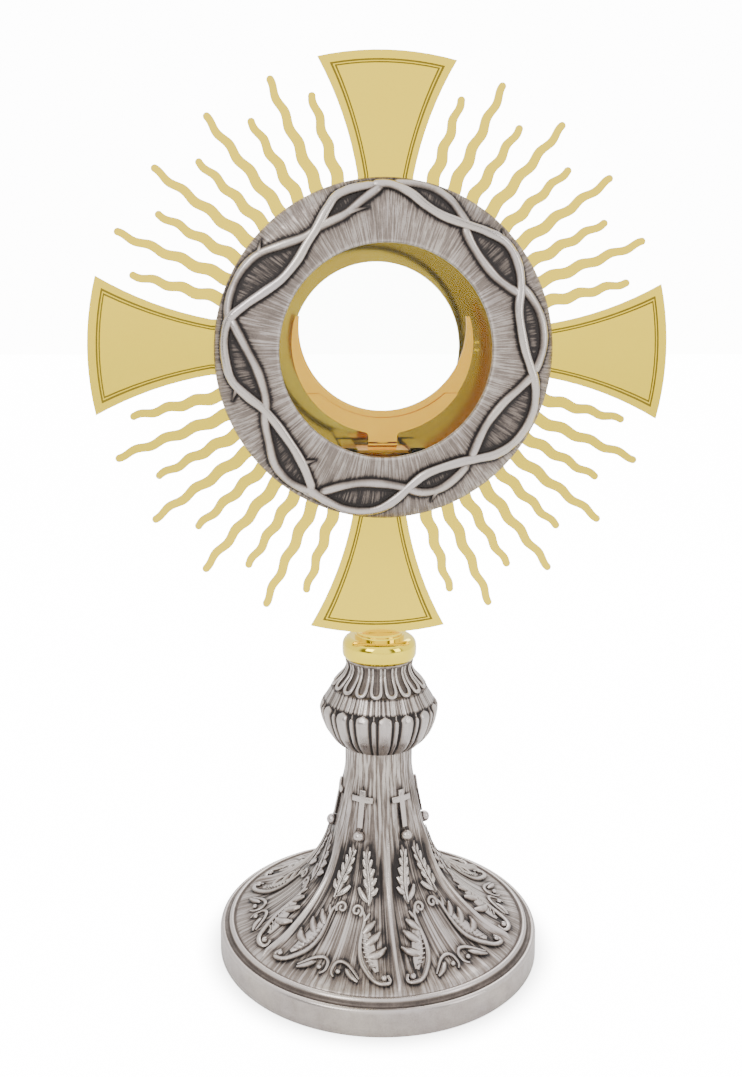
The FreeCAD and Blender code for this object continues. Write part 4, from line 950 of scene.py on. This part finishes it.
class MakeCrown(Operator):
    """Builds the crown ring: a domed face with woven thorn vines, sunk between them"""
    bl_idname = "monstrance.make_crown"
    bl_label = "Crown ring"

    def execute(self, context):
        sizes = context.scene.monstrance_crown
        line = np.vstack([smooth_line(RING_FACE[:4], 3)[:-1], smooth_line(RING_FACE[3:], 6)])
        face = Faced(line)
        behind = [(RING_R, -12.0), (RING_R, RING_BACK), (REBATE_R, RING_BACK), (REBATE_R, REBATE_FRONT),
                  (WINDOW_R, REBATE_FRONT)]
        outline = [tuple(p) for p in line] + behind
        mesh = mesh_of(spun(outline, sizes.columns, "Y"), "crown_casting")
        xyz = read_points(mesh)
        row = np.rint(read_float(mesh, "row")).astype(int)
        turn = np.arctan2(xyz[:, 2] - HEAD_Z, xyz[:, 0])
        radius = np.hypot(xyz[:, 0], xyz[:, 2] - HEAD_Z)
        strokes = vine_strokes(face, sizes.vine / MM)
        front = row < len(line)
        gap = np.full(len(xyz), 20.0)
        gap[front] = np.maximum(nearest_edge(xyz[front], strokes), 0.0)
        between = np.where(front, enclosed(turn, radius), 0.0)
        near = bell(gap, 0.0, 1.1)
        open_face = between * (1.0 - bell(gap, 0.0, 0.8))
        xyz[:, 1] += np.where(front, sizes.sunk / MM * (0.8 * open_face + 0.35 * near), 0.0)
        write_points(mesh, xyz)
        # Stored patina on the ring's face: dark outlines along the vines and a darker sunk face between them,
        # as oxide and painted shade, a wider faint painted shade round the vines, and a brighter band on the
        # window's lip.
        patina = 0.42 + 0.55 * near + 0.30 * between + 0.14 * bell(gap, 0.0, 4.0)
        patina = np.where(front, patina, 0.30)
        lip = bell(radius, 53.2, 0.8) * front
        store(mesh, patina=patina - 0.15 * lip, grain=np.where(front, 0.85, 0.25), near_axis=0.0)
        silver = oxidised_silver("crown_silver", tuple(HEAD), ROUND_DRUM, 95.0, 40.0, 0.34)
        piece("crown_casting", mesh, silver, "stand", "antique_silver", "crown_ring")
        vines = strokes_mesh("thorn_vines", strokes, 3)
        points, high = face.pressed(read_points(vines), VINE_PRESS)
        write_points(vines, points)
        # The vines are painted dark low down, as oxide and painted shade where they meet the face, and bright
        # on top, as wear and painted highlight.
        store(vines, patina=0.92 - 0.92 * ease(high, 0.3, 1.9), grain=0.12, near_axis=0.0)
        piece("thorn_vines", vines, silver, "stand", "antique_silver", "crown_ring")
        return {"FINISHED"}


# ---- finishes on the fitted pieces ----
def dress(finish, *names):
    for name in names:
        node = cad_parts[name]
        for slot in node.material_slots:
            slot.material = finish


class FinishSunburst(Operator):
    """Puts pale plated gold, with tinted engraving, on the sunburst and its post"""
    bl_idname = "monstrance.finish_sunburst"
    bl_label = "Sunburst finish"

    def execute(self, context):
        dress(engraved_sheet(), "sunburst_plate", "support_post")
        return {"FINISHED"}


class FinishCollar(Operator):
    """Puts polished gold on the collar and the small turned and folded fittings"""
    bl_idname = "monstrance.finish_collar"
    bl_label = "Polished fittings"

    def execute(self, context):
        tint = tuple(context.scene.monstrance_colours.polished)
        dress(plated("collar_gold", tint, 0.05, 900.0), "collar", "door_hinge_pin")
        dress(plated("fitting_gold", tint, 0.12, 700.0), "drum_hinge_leaf", "door_hinge_leaf", "door_catch",
              "door_rivets", "door_knob", "rear_glass_retainer")
        return {"FINISHED"}


class FinishDrum(Operator):
    """Puts satin gold on the drum, its rails and the rear door's frame"""
    bl_idname = "monstrance.finish_drum"
    bl_label = "Drum finish"

    def execute(self, context):
        tint = tuple(context.scene.monstrance_colours.drum)
        dress(plated("drum_gold", tint, 0.05, 160.0, ROUND_DRUM, tuple(HEAD)), "drum_shell",
              "guide_rail_left", "guide_rail_right", "rear_door_frame")
        return {"FINISHED"}


class FinishLunette(Operator):
    """Puts warm satin gold on the lunette"""
    bl_idname = "monstrance.finish_lunette"
    bl_label = "Lunette finish"

    def execute(self, context):
        tint = tuple(context.scene.monstrance_colours.lunette)
        dress(plated("lunette_gold", tint, 0.18, 600.0), "lunette_crescent", "lunette_clip", "lunette_foot",
              "lunette_rivets", "lunette_hinge_pin")
        return {"FINISHED"}


class FinishFasteners(Operator):
    """Puts plated steel on the rod, washer, nut and screws"""
    bl_idname = "monstrance.finish_fasteners"
    bl_label = "Fasteners"

    def execute(self, context):
        dress(plated_steel(), "tie_rod", "tie_washer", "tie_nut", "ring_screws", "catch_screw")
        return {"FINISHED"}


class FinishGlass(Operator):
    """Makes both panes clear glass"""
    bl_idname = "monstrance.finish_glass"
    bl_label = "Glass"

    def execute(self, context):
        dress(clear_glass(), "front_glass", "rear_glass")
        return {"FINISHED"}


# ---- stage ----
def studio_world(strength):
    """White backdrop for the eye; for the metal, a bright front, darker flanks and bright sides and top."""
    world = bpy.data.worlds.new("studio")
    bpy.context.scene.world = world
    f = Finish(world)
    x, y, z = f.parts(f.node("ShaderNodeTexCoord", output="Generated"))
    side = f.node("ShaderNodeMath", {"operation": "ARCTAN2"}, {0: x, 1: y * -1.0})
    away = f.node("ShaderNodeMath", {"operation": "ABSOLUTE"}, {0: side})
    front = 1.0 - away.band(0.42, 0.62)
    flank = away.band(1.05, 1.35)
    level = 0.28 + front * 1.75 + flank * 1.45
    above = z.band(0.55, 0.85)
    below = 1.0 - z.band(-0.30, -0.05)
    radiance = (level * (1.0 - above) + above * 2.1) * (1.0 - below * 0.45)
    seen = f.node("ShaderNodeLightPath", output="Is Camera Ray")
    colour_node = f.blend(z.band(-0.2, 0.6), (1.0, 0.99, 0.975), (0.985, 0.99, 1.0))
    shown = radiance + (strength - radiance) * seen
    shader = f.node("ShaderNodeBackground", inputs={"Color": colour_node, "Strength": shown})
    f.end(shader, "ShaderNodeOutputWorld")


def pale_floor(strength):
    """Matt white sweep with a faint shade under the foot."""
    f = material("pale_floor")
    x, y, _ = f.parts(f.place())
    out = f.node("ShaderNodeMath", {"operation": "SQRT"}, {0: x * x + y * y})
    shade = 1.0 - (1.0 - out.band(RIM_R * MM * 0.98, RIM_R * MM * 1.18)) * 0.75
    seen = f.node("ShaderNodeLightPath", output="Is Camera Ray")
    matt = f.node("ShaderNodeBsdfDiffuse", inputs={"Color": (0.92, 0.92, 0.915, 1.0)})
    glow = f.node("ShaderNodeEmission", inputs={"Color": (1.0, 1.0, 1.0, 1.0),
                                                "Strength": seen * shade * strength})
    return f.end(f.node("ShaderNodeAddShader", inputs={0: matt, 1: glow}), "ShaderNodeOutputMaterial")


def softbox(name, place, aim, size, watts):
    light = bpy.data.lights.new(name, "AREA")
    light.shape = "RECTANGLE"
    light.size, light.size_y = size
    light.energy = watts
    made = bpy.data.objects.new(name, light)
    made.location = place
    made.rotation_euler = (Vector(aim) - Vector(place)).to_track_quat("-Z", "Y").to_euler()
    bpy.context.scene.collection.objects.link(made)


SENSOR = 36.0                 # millimetres
SHIFT = (0.0212, -0.1111)     # shares of the frame's width


class MakeStage(Operator):
    """Sets the pale floor, the white backdrop, the soft lights and the camera"""
    bl_idname = "monstrance.make_stage"
    bl_label = "Stage"

    def execute(self, context):
        sizes = context.scene.monstrance_stage
        studio_world(sizes.backdrop)
        bm = bmesh.new()
        bmesh.ops.create_grid(bm, x_segments=8, y_segments=8, size=6.0)
        bmesh.ops.translate(bm, verts=bm.verts, vec=(0.0, 0.0, -0.00005))
        mesh = mesh_of(bm, "floor")
        mesh.materials.append(pale_floor(sizes.backdrop))
        floor = bpy.data.objects.new("floor", mesh)
        context.scene.collection.objects.link(floor)
        softbox("key_left", (-0.75, -0.95, 0.95), (0.0, 0.0, 0.22), (0.5, 0.7), 9.0)
        softbox("fill_right", (0.95, -0.70, 0.60), (0.0, 0.0, 0.22), (0.4, 0.8), 5.0)
        softbox("rim_back", (0.3, 1.0, 0.9), (0.0, 0.0, 0.25), (0.8, 0.5), 5.0)

        camera = bpy.data.cameras.new("camera")
        camera.lens = sizes.lens
        camera.sensor_width = SENSOR
        camera.shift_x, camera.shift_y = SHIFT
        camera.clip_start = 0.01
        made = bpy.data.objects.new("camera", camera)
        ahead = Vector((-sin(sizes.yaw) * cos(sizes.pitch), cos(sizes.yaw) * cos(sizes.pitch),
                        -sin(sizes.pitch)))
        level = Vector((cos(sizes.yaw), sin(sizes.yaw), 0.0))
        up = level.cross(ahead)
        right = cos(sizes.roll) * level + sin(sizes.roll) * up
        top = cos(sizes.roll) * up - sin(sizes.roll) * level
        turned_to = Matrix((right, top, -ahead)).transposed().to_4x4()
        made.matrix_world = Matrix.Translation(Vector(sizes.eye)) @ turned_to
        context.scene.collection.objects.link(made)
        context.scene.camera = made
        return {"FINISHED"}


class MonstrancePanel(Panel):
    """Lists the pieces, in the order in which they are made"""
    bl_idname = "VIEW3D_PT_monstrance"
    bl_label = "Monstrance"
    bl_space_type = "VIEW_3D"
    bl_region_type = "UI"
    bl_category = "Monstrance"

    def draw(self, context):
        for group in (context.scene.monstrance_foot, context.scene.monstrance_knop,
                      context.scene.monstrance_crown, context.scene.monstrance_colours,
                      context.scene.monstrance_stage):
            box = self.layout.box()
            for key in group.__annotations__:
                box.prop(group, key)
        for step in STEPS:
            self.layout.operator(step.bl_idname)


SETTINGS = {"monstrance_foot": FootSizes, "monstrance_knop": KnopSizes, "monstrance_crown": CrownSizes,
            "monstrance_colours": Colours, "monstrance_stage": StageSizes}
STEPS = (MakeStage, MakeFoot, MakeKnop, MakeCrown, FinishSunburst, FinishCollar, FinishDrum, FinishLunette,
         FinishFasteners, FinishGlass)


def register():
    for made in (*SETTINGS.values(), *STEPS, MonstrancePanel):
        bpy.utils.register_class(made)
    for name, group in SETTINGS.items():
        setattr(bpy.types.Scene, name, PointerProperty(type=group))


def unregister():
    for name in SETTINGS:
        delattr(bpy.types.Scene, name)
    for made in (MonstrancePanel, *STEPS[::-1], *SETTINGS.values()):
        bpy.utils.unregister_class(made)


def main():
    register()
    for step in STEPS:
        group, name = step.bl_idname.split(".")
        getattr(getattr(bpy.ops, group), name)()


if __name__ == "__main__":
    main()
